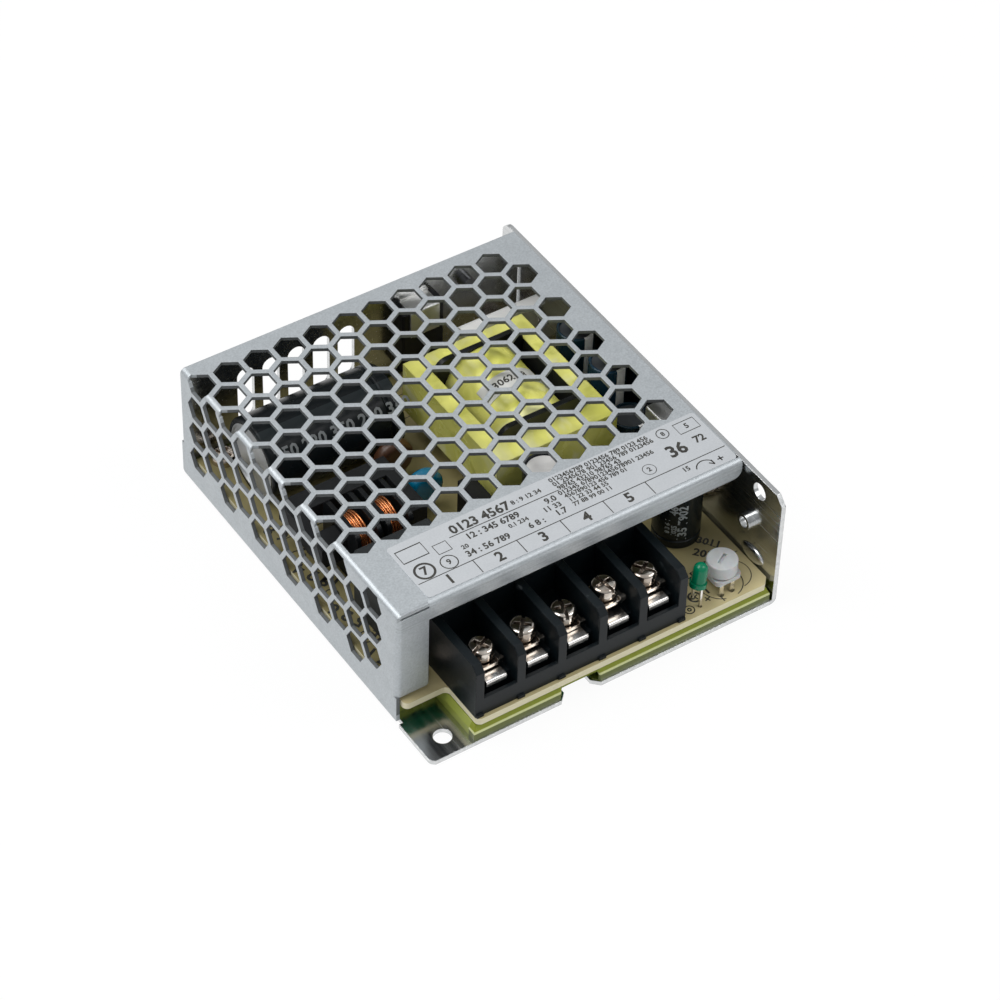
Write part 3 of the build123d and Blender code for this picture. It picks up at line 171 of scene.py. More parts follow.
class Finish:
    # One material: its shader, the place of each point in the object's frame, and its grain.
    # The depth of the grain and the radius of the edges are in millimetres.
    def __init__(self, name, colour, patch, roughness, spread=0.1, metallic=0.0, scale=600.0,
                 stretch=(1, 1, 1), depth=0.004, edge=0.12, speckle=0.1):
        self.material = bpy.data.materials.new(name)
        self.material.use_nodes = True
        self.tree = self.material.node_tree
        self.shader = self.tree.nodes["Principled BSDF"]
        self.place = self.tree.nodes.new("ShaderNodeTexCoord").outputs["Object"]
        self.grain = node(self.tree, "Group", {"node_tree": grain_group}, Place=self.place,
                          Stretch=stretch, Scale=scale, Colour=(*colour, 1), Roughness=roughness)
        self.grain.inputs["Patch Colour"].default_value = (*patch, 1)
        self.grain.inputs["Roughness Spread"].default_value = spread
        self.grain.inputs["Speckle"].default_value = speckle
        edges = node(self.tree, "Group", {"node_tree": edge_group}, Radius=edge * mm,
                     Height=self.grain.outputs["Height"], Depth=depth * mm)
        self.colour = self.grain.outputs["Colour"]
        self.roughness = self.grain.outputs["Roughness"]
        self.metallic = metallic
        self.feed("Normal", edges.outputs["Normal"])
        self.settle()

    def feed(self, socket, value):
        if isinstance(value, bpy.types.NodeSocket):
            self.tree.links.new(value, self.shader.inputs[socket])
        else:
            self.shader.inputs[socket].default_value = value
        return self

    def settle(self):
        self.feed("Base Color", self.colour)
        self.feed("Roughness", self.roughness)
        self.feed("Metallic", self.metallic)
        return self

    def paint(self, mask, colour, roughness=None, metallic=None):
        # Lays another finish over this one where the mask is 1.
        self.colour = mixed(self.tree, mask, self.colour, colour)
        if roughness is not None:
            self.roughness = self.blend_value(mask, self.roughness, roughness)
        if metallic is not None:
            self.metallic = self.blend_value(mask, self.metallic, metallic)
        return self.settle()

    def blend_value(self, mask, old, new):
        rest = math_node(self.tree, "SUBTRACT", 1.0, mask)
        return math_node(self.tree, "ADD", self.both(rest, old), self.both(mask, new))

    def scratch(self, turn, amount, colour, scale=500.0):
        made = node(self.tree, "Group", {"node_tree": scratch_group}, Place=self.place,
                    Turn=turn, Scale=scale, Amount=amount)
        return self.paint(made.outputs["Mask"], colour)

    def axes(self):
        # Where each point lies along X, Y and Z.
        return node(self.tree, "SeparateXYZ", i0=self.place).outputs

    def facing(self):
        # Which way the face looks at each point, along X, Y and Z.
        geometry = self.tree.nodes.new("ShaderNodeNewGeometry")
        return node(self.tree, "SeparateXYZ", i0=geometry.outputs["Normal"]).outputs

    def under(self, value, limit):
        return math_node(self.tree, "LESS_THAN", value, limit)

    def over(self, value, limit):
        return math_node(self.tree, "GREATER_THAN", value, limit)

    def close_to(self, value, middle, half):
        return math_node(self.tree, "COMPARE", value, middle, half)

    def both(self, first, *others):
        # The masks multiplied, so that the result is 1 only where all of them are.
        for other in others:
            first = math_node(self.tree, "MULTIPLY", first, other)
        return first

    def around(self, first, first_middle, second, second_middle):
        # The angle round an axis and the distance from it.
        one = math_node(self.tree, "SUBTRACT", first, first_middle)
        two = math_node(self.tree, "SUBTRACT", second, second_middle)
        squares = math_node(self.tree, "ADD", self.both(one, one), self.both(two, two))
        angle = math_node(self.tree, "ARCTAN2", two, one)
        return angle, math_node(self.tree, "SQRT", squares)

    def dress(self, *names):
        for name in names:
            for slot in cad_nodes[name].material_slots:
                slot.material = self.material
        return self


rolled_aluminium = Finish("rolled_aluminium", (0.66, 0.67, 0.67), (0.60, 0.61, 0.615), 0.22,
                          spread=0.3, metallic=1.0, scale=1300.0, stretch=(1, 0.02, 1),
                          edge=0.2, speckle=0.55)
rolled_aluminium.scratch(0.6, 0.3, (0.8, 0.8, 0.8)).scratch(2.1, 0.3, (0.35, 0.35, 0.35))
rolled_aluminium.dress("chassis")


# Insulating sheet: a thin clear yellow-green plastic film on the base plate, under the board.
# At the front it stands up as a lip and leans out as a rim, folded at a crease. The leaning rim
# is painted a little lighter than the lip, as a painted lit face, the standing lip is painted
# darker as painted shade, and the crease carries a painted highlight.
film = Finish("insulating_film", (0.40, 0.45, 0.09), (0.34, 0.39, 0.07), 0.22, spread=0.1,
              scale=200.0, depth=0.002, edge=0.15)
film_low, film_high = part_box("insulating_sheet")
_, film_y, film_z = film.axes()
lip_depth = 2.0 * mm
crease_z = film_high.z - 1.6 * mm
crease_half = 0.28 * mm
front_edge = film.under(film_y, film_low.y + lip_depth)
crease_highlight = film.close_to(film_z, crease_z, crease_half)
# Painted light and shade: the rim above the crease lighter, the lip below it darker, and a
# painted highlight along the crease.
film.paint(film.both(front_edge, film.over(film_z, crease_z)), (0.27, 0.31, 0.02))
film.paint(film.both(front_edge, film.under(film_z, crease_z)), (0.125, 0.15, 0.02))
film.paint(film.both(front_edge, crease_highlight), (0.72, 0.75, 0.36))
film.feed("Transmission Weight", 0.2).feed("IOR", 1.5).feed("Specular IOR Level", 0.25)
film.dress("insulating_sheet")


# Circuit board: tan paper laminate with a green solder mask below and cream cut edges.
# Its black print shows where each piece goes: outlines, rings and plain digits.
board_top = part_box("circuit_board")[1].z
laminate = Finish("laminate", (0.56, 0.48, 0.26), (0.46, 0.39, 0.20), 0.42, spread=0.12,
                  scale=700.0, stretch=(1, 0.25, 1))
facing_up = laminate.facing()[2]
steep = 0.5
laminate.paint(laminate.under(facing_up, -steep), (0.005, 0.20, 0.11), roughness=0.25)
laminate.paint(laminate.close_to(facing_up, 0.0, steep), (0.66, 0.61, 0.42), roughness=0.6)
# Painted shadow: the upper face of the board is painted darker towards the rear, where the
# cover's shade falls on it.
shade_start, shade_end = -37 * mm, -30 * mm
cover_shadow = ramp(laminate.tree, laminate.axes()[1], shade_start, shade_end)
laminate.paint(laminate.both(cover_shadow, laminate.over(facing_up, steep)), (0.30, 0.255, 0.11),
               roughness=0.5)
laminate.dress("circuit_board")


def ribbon(mesh, points, width, z, closed=False):
    # A flat printed line of one width along a row of points.
    count = len(points)
    pairs = []
    for n, point in enumerate(points):
        before = points[(n - 1) % count] if closed or n > 0 else point
        after = points[(n + 1) % count] if closed or n < count - 1 else point
        along = Vector(after) - Vector(before)
        across = Vector((-along.y, along.x)).normalized() * width / 2
        pairs.append([mesh.verts.new((*(Vector(point) + side * across), z)) for side in (-1, 1)])
    last = count if closed else count - 1
    for n in range(last):
        low, high = pairs[n], pairs[(n + 1) % count]
        mesh.faces.new((low[0], high[0], high[1], low[1]))


def arc(x, y, radius, start=0.0, end=360.0, step=12.0):
    steps = max(2, round(abs(end - start) / step))
    turns = [math.radians(start + (end - start) * n / steps) for n in range(steps + 1)]
    return [(x + radius * math.cos(turn), y + radius * math.sin(turn)) for turn in turns]


def piece_from(mesh, name, finish, body="case"):
    data = bpy.data.meshes.new(name)
    if isinstance(mesh, bmesh.types.BMesh):
        mesh.to_mesh(data)
        mesh.free()
    else:
        data = mesh
        data.name = name
    made = bpy.data.objects.new(name, data)
    bpy.context.scene.collection.objects.link(made)
    data.materials.clear()
    data.materials.append(finish.material)
    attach(made, body)


def digit_mesh(text, size):
    # Plain digits as a flat mesh, centred on the origin and read along +X.
    bolder = 0.03
    letters = bpy.data.curves.new("digits", "FONT")
    letters.body = text
    letters.size = size
    letters.offset = bolder * size
    letters.align_x = "CENTER"
    letters.align_y = "CENTER"
    letters.resolution_u = 2
    holder = bpy.data.objects.new("digits", letters)
    bpy.context.scene.collection.objects.link(holder)
    bpy.context.view_layer.update()
    shown = holder.evaluated_get(bpy.context.evaluated_depsgraph_get())
    data = bpy.data.meshes.new_from_object(shown)
    bpy.data.objects.remove(holder)
    bpy.data.curves.remove(letters)
    return data


def add_digits(mesh, text, size, x, y, z, turn=0.0):
    data = digit_mesh(text, size)
    turned = math.radians(turn)
    for vertex in data.vertices:
        across, along = vertex.co.x, vertex.co.y
        vertex.co = (x + across * math.cos(turned) - along * math.sin(turned),
                     y + across * math.sin(turned) + along * math.cos(turned), z)
    mesh.from_mesh(data)
    bpy.data.meshes.remove(data)


def draw(mesh, z, front=0.0, lines=(), rings=(), boxes=(), digits=()):
    # A flat print at one height. Its tables are in millimetres across and back from the front.
    # Lines: two ends and a width. Rings: a middle, a radius and a width. Boxes: left, right,
    # front and rear sides and a width. Digits: text, size, a middle and at times a turn.
    for x0, y0, x1, y1, width in lines:
        ribbon(mesh, [(x0 * mm, front + y0 * mm), (x1 * mm, front + y1 * mm)], width * mm, z)
    for x, y, radius, width in rings:
        ribbon(mesh, arc(x * mm, front + y * mm, radius * mm)[:-1], width * mm, z, closed=True)
    for left, right, near, far, width in boxes:
        corners = [(left, near), (right, near), (right, far), (left, far)]
        ribbon(mesh, [(x * mm, front + y * mm) for x, y in corners], width * mm, z, closed=True)
    for text, size, x, y, *turn in digits:
        add_digits(mesh, text, size * mm, x * mm, front + y * mm, z, *turn)


black_ink = Finish("black_ink", (0.018, 0.017, 0.015), (0.04, 0.038, 0.03), 0.5, scale=1500.0,
                   edge=0.01)
print_lift = 0.02 * mm
print_z = board_top + print_lift
board_print = bmesh.new()
cross_line, cross_turns = 0.3 * mm, (20, 110)
for middle_x, middle_y, reach in ((24.1, -44.5, 0.9), (26.0, -46.3, 0.7)):
    for angle in cross_turns:
        aim = Vector((math.cos(math.radians(angle)), math.sin(math.radians(angle)))) * reach
        middle = Vector((middle_x, middle_y))
        ribbon(board_print, [(middle - aim) * mm, (middle + aim) * mm], cross_line, print_z)
trimmer_low, trimmer_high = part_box("trimmer_base")
trimmer_middle = (trimmer_low + trimmer_high) / 2
for right, back, radius, start, end, width in ((0.0, 0.0, 4.6, -75, 250, 0.22),
                                               (3.2, 0.6, 4.0, -85, 60, 0.2)):
    points = arc(trimmer_middle.x + right * mm, trimmer_middle.y + back * mm, radius * mm,
                 start, end)
    ribbon(board_print, points, width * mm, print_z)
draw(board_print, print_z,
     lines=[(27.2, -38.6, 38.9, -38.6, 0.2), (27.2, -38.6, 27.2, -45.2, 0.45),
            (31.2, -28.0, 37.2, -37.6, 0.16)],
     rings=[(21.2, -46.8, 1.05, 0.26), (21.2, -46.8, 0.35, 0.3), (24.1, -44.5, 1.25, 0.45),
            (-26.0, 8.0, 2.5, 0.3), (-33.0, 12.0, 1.6, 0.3), (-36.6, -19.0, 1.5, 0.3),
            (2.0, 34.0, 3.0, 0.3), (14.0, 32.0, 2.2, 0.3), (24.0, 38.5, 3.0, 0.3),
            (31.0, 27.0, 2.6, 0.3), (-14.0, 12.0, 1.8, 0.3), (22.0, -12.0, 2.4, 0.3),
            (16.0, -16.0, 1.6, 0.3), (-36.4, -5.6, 1.4, 0.3), (-36.6, 7.0, 1.5, 0.3)],
     boxes=[(-37.0, -24.0, 12.5, 16.0, 0.25), (20.0, 27.5, -20.5, -15.5, 0.25),
            (3.0, 11.0, 29.5, 36.0, 0.25), (15.0, 21.0, 27.8, 31.0, 0.25),
            (26.0, 34.5, 22.0, 26.5, 0.25), (-16.0, -11.0, 3.0, 9.0, 0.25)],
     digits=[("3011", 2.6, 35.4, -33.6, -50), ("2074", 2.8, 33.0, -36.2, -50),
             ("61", 2.6, 31.2, -38.6, -50), ("31", 2.0, 26.4, -40.2, 90),
             ("1", 1.7, 28.6, -48.0, 0), ("3 4", 2.4, -27.4, -44.6, 90),
             ("4 7 1", 4.0, -36.8, -26.0, 115), ("20", 4.0, -34.0, -21.0, 115),
             ("5 3 6", 4.0, -36.8, -12.0, 115), ("11", 4.0, -33.6, -17.0, 115),
             ("9 2 4", 4.0, -36.8, 1.0, 115), ("30", 4.0, -33.4, 8.0, 115),
             ("6 8", 4.0, -36.8, 15.0, 115), ("14", 4.0, -34.0, -2.0, 115)])
piece_from(board_print, "board_print", black_ink)


# Spacers and screws that carry the board: turned steel posts and screws, all nickel plated.
# Each screw goes through the board into its post, which is riveted in the base plate.
nickel = Finish("nickel", (0.74, 0.69, 0.62), (0.42, 0.33, 0.26), 0.14, spread=0.12,
                metallic=1.0, scale=1400.0, depth=0.002, edge=0.1)
nickel.dress("board_standoffs", "board_screws")


# Terminal block: one moulding of black flame-proof plastic, five chambers with a wall between.
# Its skin is a fine matt grain, with some pale scuffs and scratches from handling.
pole_count = 5
block_plastic = Finish("block_plastic", (0.0022, 0.0046, 0.0062), (0.0048, 0.0082, 0.0102), 0.4,
                       spread=0.14, scale=1600.0, depth=0.005, edge=0.3)
block_plastic.feed("Specular IOR Level", 0.2).scratch(1.1, 0.4, (0.05, 0.06, 0.065), 260.0)
scuff_field = noise(block_plastic.tree, block_plastic.place, 330.0, 1.0)
scuffs = ramp(block_plastic.tree, scuff_field, 0.74, 0.80)
block_plastic.paint(scuffs, (0.06, 0.07, 0.075), roughness=0.5)
block_plastic.dress("terminal_housing")


# Contacts: bent brass bars with bright tin plating, pressed into the block and soldered below.
# The plating is drawn out in faint streaks along each bar.
tin = Finish("tin_plate", (0.90, 0.88, 0.85), (0.70, 0.68, 0.65), 0.2, spread=0.2, metallic=1.0,
             scale=800.0, stretch=(1, 0.1, 1), depth=0.003, edge=0.2)
tin.dress(*[f"terminal_contact_{n}" for n in range(1, pole_count + 1)])


# Terminal screws with their square clamps and split rings, stamped and headed in nickelled steel.
# The heads look mottled. An occlusion mask darkens the slot and cross recess and the places where
# head, ring and clamp meet: partly dark plating residue in the recess, partly painted shade in
# these hollows and joins.
screw_nickel = Finish("screw_nickel", (0.88, 0.83, 0.76), (0.25, 0.18, 0.13), 0.1, spread=0.14,
                      metallic=1.0, scale=2600.0, depth=0.006, edge=0.18, speckle=0.6)
openness = node(screw_nickel.tree, "AmbientOcclusion", {"samples": 8, "only_local": True},
                Distance=0.7 * mm).outputs["AO"]
# Dark brown where the occlusion mask finds hollows and joins: some plating residue, and painted
# shade.
residue_and_shade = ramp(screw_nickel.tree, openness, 0.92, 0.6, high=0.9)
screw_nickel.paint(residue_and_shade, (0.045, 0.030, 0.022), roughness=0.4)
for number in range(1, pole_count + 1):
    screw_nickel.dress(f"terminal_screw_{number}", f"clamp_washer_{number}",
                       f"lock_washer_{number}")


# Indicator lamp: a 3 mm lens cast in clear green resin round the ends of its two tinned leads.
# It stands on long leads, bent a little so that the lens leans.
lamp_resin = Finish("lamp_resin", (0.0, 0.27, 0.125), (0.0, 0.17, 0.08), 0.2, spread=0.08,
                    scale=900.0, speckle=0.6)
lamp_resin.feed("Transmission Weight", 0.25).feed("IOR", 1.45).feed("Specular IOR Level", 0.35)
lamp_resin.dress("indicator_lamp")
tin.dress("indicator_leads")


# Output trimmer: a milky moulded base and rotor, turned by a screwdriver in the shallow slot.
# Three tinned legs carry it, and a dark line shows between the base and the rotor.
milky_plastic = Finish("milky_plastic", (0.62, 0.64, 0.64), (0.50, 0.51, 0.52), 0.34,
                       spread=0.12, scale=1300.0, edge=0.2, speckle=0.3)
milky_plastic.feed("Transmission Weight", 0.2)
milky_plastic.feed("Subsurface Weight", 0.3).feed("Subsurface Scale", 1.0 * mm)
milky_plastic.dress("trimmer_base", "trimmer_rotor")
tin.dress("trimmer_legs")


# Transformer: two ferrite cores round a black bobbin, wound and then bound in yellow polyester
# tape. The tape is thin and glossy, with soft creases and its layers showing through.
# A white paper tag with plain digits is stuck over its top.
ferrite = Finish("ferrite", (0.009, 0.010, 0.011), (0.016, 0.017, 0.018), 0.5, spread=0.15,
                 scale=1500.0, depth=0.008, edge=0.3)
ferrite.feed("Specular IOR Level", 0.2)
ferrite.dress("transformer_core_front", "transformer_core_rear", "choke_core")
bobbin_plastic = Finish("bobbin_plastic", (0.004, 0.005, 0.006), (0.008, 0.009, 0.010), 0.3,
                        scale=1300.0, edge=0.2)
bobbin_plastic.feed("Specular IOR Level", 0.25).dress("transformer_bobbin", "choke_bobbin")
yellow_tape = Finish("yellow_tape", (0.82, 0.80, 0.24), (0.66, 0.65, 0.13), 0.26, spread=0.14,
                     scale=260.0, stretch=(1, 0.5, 1), depth=0.06, edge=0.4, speckle=0.5)
tape_field = noise(yellow_tape.tree, yellow_tape.place, 95.0, 3.0, distortion=0.8)
pale_patches = ramp(yellow_tape.tree, tape_field, 0.54, 0.64, high=0.75)
deep_patches = ramp(yellow_tape.tree, tape_field, 0.46, 0.36, high=0.8)
yellow_tape.paint(pale_patches, (0.80, 0.79, 0.42), roughness=0.2)
yellow_tape.paint(deep_patches, (0.54, 0.54, 0.09), roughness=0.32)
yellow_tape.scratch(0.8, 0.8, (0.86, 0.85, 0.56), 170.0)
yellow_tape.scratch(2.2, 0.7, (0.32, 0.31, 0.05), 150.0)
yellow_tape.dress("transformer_winding", "transformer_tape")
paper = Finish("paper", (0.60, 0.60, 0.58), (0.54, 0.54, 0.51), 0.7, scale=1400.0, edge=0.05)
paper.dress("transformer_label")
tag_low, tag_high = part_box("transformer_label")
core_low, core_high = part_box("transformer_winding")
tag_middle = (tag_low + tag_high) / 2
tag_radius = tag_high.z - (core_low.z + core_high.z) / 2
tag_data = digit_mesh("3062 18", 2.5 * mm)
for vertex in tag_data.vertices:
    turn = vertex.co.x / tag_radius
    drop = tag_radius * (1 - math.cos(turn))
    vertex.co = (tag_middle.x + tag_radius * math.sin(turn), tag_middle.y + vertex.co.y,
                 tag_high.z - drop + print_lift)
piece_from(tag_data, "tag_print", black_ink)


# Mains choke: enamelled copper wire wound in two sections of a black bobbin, on one leg of a
# square core. Each section is a real winding here: two layers of turns lying side by side.
choke_low, choke_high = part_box("choke_windings")
choke_middle = (choke_low + choke_high) / 2
wire_radius = 0.28 * mm
section_width = 4.0 * mm
section_pitch = 7.2 * mm
turn_pitch = 2.1 * wire_radius
layer_step = 1.9 * wire_radius
wander_reach = 0.12 * mm
outer_turn_radius = (choke_high.z - choke_low.z) / 2 - wire_radius
enamel = Finish("copper_enamel", (0.78, 0.30, 0.10), (0.55, 0.17, 0.05), 0.22, spread=0.12,
                metallic=0.9, scale=900.0, edge=0.02)
enamel.feed("Coat Weight", 0.6)
windings = bpy.data.curves.new("choke_wire", "CURVE")
windings.dimensions = "3D"
windings.bevel_depth = wire_radius
windings.bevel_resolution = 3
windings.use_fill_caps = True
turns = int((section_width - 2 * wire_radius) / turn_pitch)
steps_per_turn = 12
for side in (-1, 1):
    for layer in range(2):
        radius = outer_turn_radius - layer * layer_step
        count = turns * steps_per_turn + 1
        spline = windings.splines.new("NURBS")
        spline.points.add(count - 1)
        start = choke_middle.x + side * section_pitch / 2 - turns * turn_pitch / 2
        for n in range(count):
            angle = 2 * math.pi * n / steps_per_turn
            wander = wander_reach * math.sin(0.9 * n + side + layer)
            spline.points[n].co = (start + turn_pitch * n / steps_per_turn + wander,
                                   choke_middle.y + radius * math.cos(angle),
                                   choke_middle.z + radius * math.sin(angle), 1)
        spline.order_u = 3
        spline.use_endpoint_u = True
coil = bpy.data.objects.new("choke_wire", windings)
bpy.context.scene.collection.objects.link(coil)
windings.materials.append(enamel.material)
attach(coil, "case")
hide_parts("choke_windings")


# Bulk capacitor: a drawn aluminium can in a dark shrink sleeve, on its side across the rear.
# The sleeve carries a paler band, a painted sheen along its upper front crest, and rows of plain
# digits, and the bare can shows at its left end.
bulk_low, bulk_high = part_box("bulk_capacitor")
bulk_radius = (bulk_high.y - bulk_low.y) / 2
bulk_y = (bulk_low.y + bulk_high.y) / 2
bulk_z = bulk_high.z - bulk_radius
rim_width = 1.2 * mm
end_depth = 0.6 * mm
sheen_middle, sheen_half = math.radians(112), math.radians(9)
sleeve = Finish("bulk_sleeve", (0.0036, 0.0054, 0.0064), (0.0070, 0.0098, 0.0112), 0.26,
                spread=0.1, scale=420.0, depth=0.01, edge=0.3)
place_x, place_y, place_z = sleeve.axes()
angle_round, from_axis = sleeve.around(place_y, bulk_y, place_z, bulk_z)
bare_end = sleeve.both(sleeve.under(from_axis, bulk_radius - rim_width),
                       sleeve.under(place_x, bulk_low.x + end_depth))
# Painted sheen: a paler band along the upper front crest of the sleeve, where a highlight falls.
stripe_and_sheen = sleeve.close_to(angle_round, sheen_middle, sheen_half)
sleeve.feed("Specular IOR Level", 0.16).paint(stripe_and_sheen, (0.016, 0.021, 0.023), roughness=0.3)
sleeve.paint(bare_end, (0.55, 0.56, 0.57), roughness=0.4, metallic=1.0)
sleeve.dress("bulk_capacitor")


def add_bent_digits(mesh, text, size, radius, turn, middle, upright=False):
    # Digits printed round a can that lies along X or stands upright. They run along the can
    # and bend round it at the given turn.
    data = digit_mesh(text, size)
    reach = radius + print_lift
    for vertex in data.vertices:
        angle = math.radians(turn) - vertex.co.y / radius
        across = (reach * math.cos(angle), reach * math.sin(angle))
        offset = (*across, vertex.co.x) if upright else (vertex.co.x, *across)
        vertex.co = Vector(middle) + Vector(offset)
    mesh.from_mesh(data)
    bpy.data.meshes.remove(data)


grey_ink = Finish("grey_ink", (0.20, 0.215, 0.22), (0.15, 0.16, 0.165), 0.45, scale=1500.0,
                  edge=0.01)
first_row, row_step = 4.2 * mm, 6.6 * mm
row_size, row_turn = 3.7 * mm, 143
sleeve_print = bmesh.new()
for n, digits in enumerate(("350", "220", "350", "220", "350")):
    add_bent_digits(sleeve_print, digits, row_size, bulk_radius, row_turn,
                    (bulk_low.x + first_row + n * row_step, bulk_y, bulk_z))
piece_from(sleeve_print, "sleeve_print", grey_ink)


# Small parts, each in its own moulding or dip: a grey boxed film capacitor, a glossy blue disc,
# a brown dipped disc and a glass fuse between bright caps. The flat bridge, the two power
# devices and the optocoupler are moulded in black epoxy.
box_plastic = Finish("box_plastic", (0.020, 0.023, 0.025), (0.030, 0.034, 0.036), 0.45,
                     scale=1200.0, edge=0.4)
box_plastic.feed("Specular IOR Level", 0.25).dress("box_capacitor")
blue_dip = Finish("blue_dip", (0.0, 0.17, 0.30), (0.0, 0.13, 0.25), 0.16, spread=0.08,
                  scale=300.0, depth=0.02)
blue_dip.feed("Coat Weight", 0.5).dress("disc_capacitor")
brown_dip = Finish("brown_dip", (0.05, 0.022, 0.010), (0.09, 0.035, 0.014), 0.3, scale=400.0,
                   depth=0.02)
brown_dip.dress("thermistor")
fuse_low, fuse_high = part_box("fuse")
glass_half = 2.5 * mm
fuse_glass = Finish("fuse_glass", (0.55, 0.58, 0.56), (0.45, 0.48, 0.46), 0.12, scale=700.0)
glass_span = fuse_glass.close_to(fuse_glass.axes()[1], (fuse_low.y + fuse_high.y) / 2, glass_half)
caps = math_node(fuse_glass.tree, "SUBTRACT", 1.0, glass_span)
fuse_glass.paint(caps, (0.75, 0.72, 0.66), roughness=0.2, metallic=1.0)
fuse_glass.dress("fuse")
moulded_black = Finish("moulded_black", (0.005, 0.0052, 0.006), (0.010, 0.0105, 0.011), 0.42,
                       scale=1500.0, edge=0.2)
moulded_black.feed("Specular IOR Level", 0.25)
moulded_black.dress("bridge_rectifier", "switching_transistor", "output_rectifier",
                    "optocoupler")


# Spring clips that press the two power devices on the walls: bent strips of bright spring
# steel. Each hooks over its device and is held between it and the cover.
spring_steel = Finish("spring_steel", (0.72, 0.72, 0.71), (0.60, 0.60, 0.59), 0.34, spread=0.08,
                      metallic=0.85, scale=900.0, stretch=(0.1, 1, 1), depth=0.001, edge=0.2)
spring_steel.dress("transistor_clip", "rectifier_clip")


# Heat sink of the output stage: a bent strip of matt white-finished aluminium behind the
# transformer. It stands on two feet in the board and gives its heat off to the air.
matt_aluminium = Finish("matt_aluminium", (0.90, 0.90, 0.89), (0.84, 0.84, 0.83), 0.5,
                        spread=0.08, metallic=0.1, scale=900.0, stretch=(0.1, 1, 1),
                        depth=0.002, edge=0.2)
matt_aluminium.dress("heat_sink")


# Upright capacitors: aluminium cans in dark shrink sleeves with a white stripe down one side.
# The sleeve turns in over the rim round the flat top, and the front one carries rows of plain
# digits.
can_styles = {
    "output_capacitor_1": ((0.004, 0.018, 0.030), -78),
    "output_capacitor_2": ((0.004, 0.026, 0.050), -78),
    "output_capacitor_3": ((0.004, 0.018, 0.030), -78),
    "supply_capacitor": ((0.010, 0.012, 0.016), -60),
    "filter_capacitor": ((0.0055, 0.0085, 0.0095), 80)}
bare_top, sleeved_top = (0.66, 0.65, 0.64), (0.05, 0.055, 0.06)
top_rim = 0.7 * mm
can_stripe_half = math.radians(18)
patch_gain = 1.5
for name, (sleeve_colour, stripe_turn) in can_styles.items():
    low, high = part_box(name)
    middle = (low + high) / 2
    can_radius = (high.x - low.x) / 2
    paler = tuple(patch_gain * part for part in sleeve_colour)
    can = Finish(name + "_sleeve", sleeve_colour, paler, 0.25, scale=500.0, depth=0.008,
                 edge=0.3)
    can_x, can_y, can_z = can.axes()
    angle_round, from_axis = can.around(can_x, middle.x, can_y, middle.y)
    stripe_and_sheen = can.close_to(angle_round, math.radians(stripe_turn), can_stripe_half)
    top = can.both(can.under(from_axis, can_radius - top_rim), can.over(can_z, high.z - top_rim))
    can.feed("Specular IOR Level", 0.3).paint(stripe_and_sheen, (1.0, 0.99, 0.97), roughness=0.5)
    can.paint(top, bare_top if name == "supply_capacitor" else sleeved_top, roughness=0.5,
              metallic=0.3)
    can.dress(name)
white_ink = Finish("white_ink", (0.42, 0.45, 0.46), (0.30, 0.33, 0.34), 0.5, scale=1500.0,
                   edge=0.01)
filter_low, filter_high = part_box("filter_capacitor")
filter_middle = (filter_low + filter_high) / 2
filter_radius = (filter_high.x - filter_low.x) / 2
can_print = bmesh.new()
for digits, size, turn, height in (("135 7902", 2.6, -112, 13.5), ("46", 2.4, -134, 17.0),
                                   ("1025", 1.5, -132, 11.5), ("8 3 6 1", 1.4, -148, 12.5)):
    add_bent_digits(can_print, digits, size * mm, filter_radius, turn,
                    (filter_middle.x, filter_middle.y, height * mm), upright=True)
piece_from(can_print, "can_print", white_ink)


# Cover: one perforated sheet of zinc-coated steel, folded over the top and down the left side.
# The coating is a satin grey with a faint spangle, and the front flange shows lines from the
# folding press. The punched walls of the holes are painted dark as painted shade inside the
# holes. Two dark zinc-plated screws hold it.
cover_zinc = Finish("cover_zinc", (0.485, 0.515, 0.535), (0.445, 0.475, 0.495), 0.5,
                    spread=0.12, metallic=0.8, scale=2600.0, depth=0.003, edge=0.18,
                    speckle=0.55)
cover_zinc.scratch(0.9, 0.25, (0.64, 0.66, 0.67), 420.0)
cover_low, cover_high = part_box("cover")
at_x, at_y, at_z = cover_zinc.axes()
facing_x, _, facing_z = cover_zinc.facing()
both, under, over = cover_zinc.both, cover_zinc.under, cover_zinc.over
flange_sheet, flange_low_z = 0.6 * mm, 25.3 * mm
front_flange = both(under(at_y, cover_low.y + flange_sheet), over(at_z, flange_low_z))
press_place = stretched(cover_zinc.tree, cover_zinc.place, (0.05, 1, 1))
press_lines = ramp(cover_zinc.tree, noise(cover_zinc.tree, press_place, 2200.0), 0.45, 0.7,
                   high=0.6)
cover_zinc.paint(both(front_flange, press_lines), (0.31, 0.33, 0.345), roughness=0.38)
top_depth, side_depth, wall_slack = 0.95 * mm, 0.85 * mm, 0.1
front_margin, right_margin, fold_margin = 3.0 * mm, 1.5 * mm, 2.0 * mm
fold_drop, foot_margin = 2.2 * mm, 2.6 * mm
top_walls = both(over(at_z, cover_high.z - top_depth), over(at_y, cover_low.y + front_margin),
                 under(at_x, cover_high.x - right_margin), over(at_x, cover_low.x + fold_margin),
                 cover_zinc.close_to(facing_z, 0.0, wall_slack))
side_walls = both(under(at_x, cover_low.x + side_depth), under(at_z, cover_high.z - fold_drop),
                  over(at_z, foot_margin), cover_zinc.close_to(facing_x, 0.0, wall_slack))
hole_wall_shade = math_node(cover_zinc.tree, "MAXIMUM", top_walls, side_walls)
# Painted shade: the walls of the holes are painted dark and less metallic.
cover_zinc.paint(hole_wall_shade, (0.15, 0.16, 0.165), roughness=0.6, metallic=0.4)
cover_zinc.dress("cover")
dark_zinc = Finish("dark_zinc", (0.16, 0.165, 0.17), (0.10, 0.10, 0.11), 0.35, metallic=0.8,
                   scale=1400.0)
dark_zinc.dress("cover_screws")


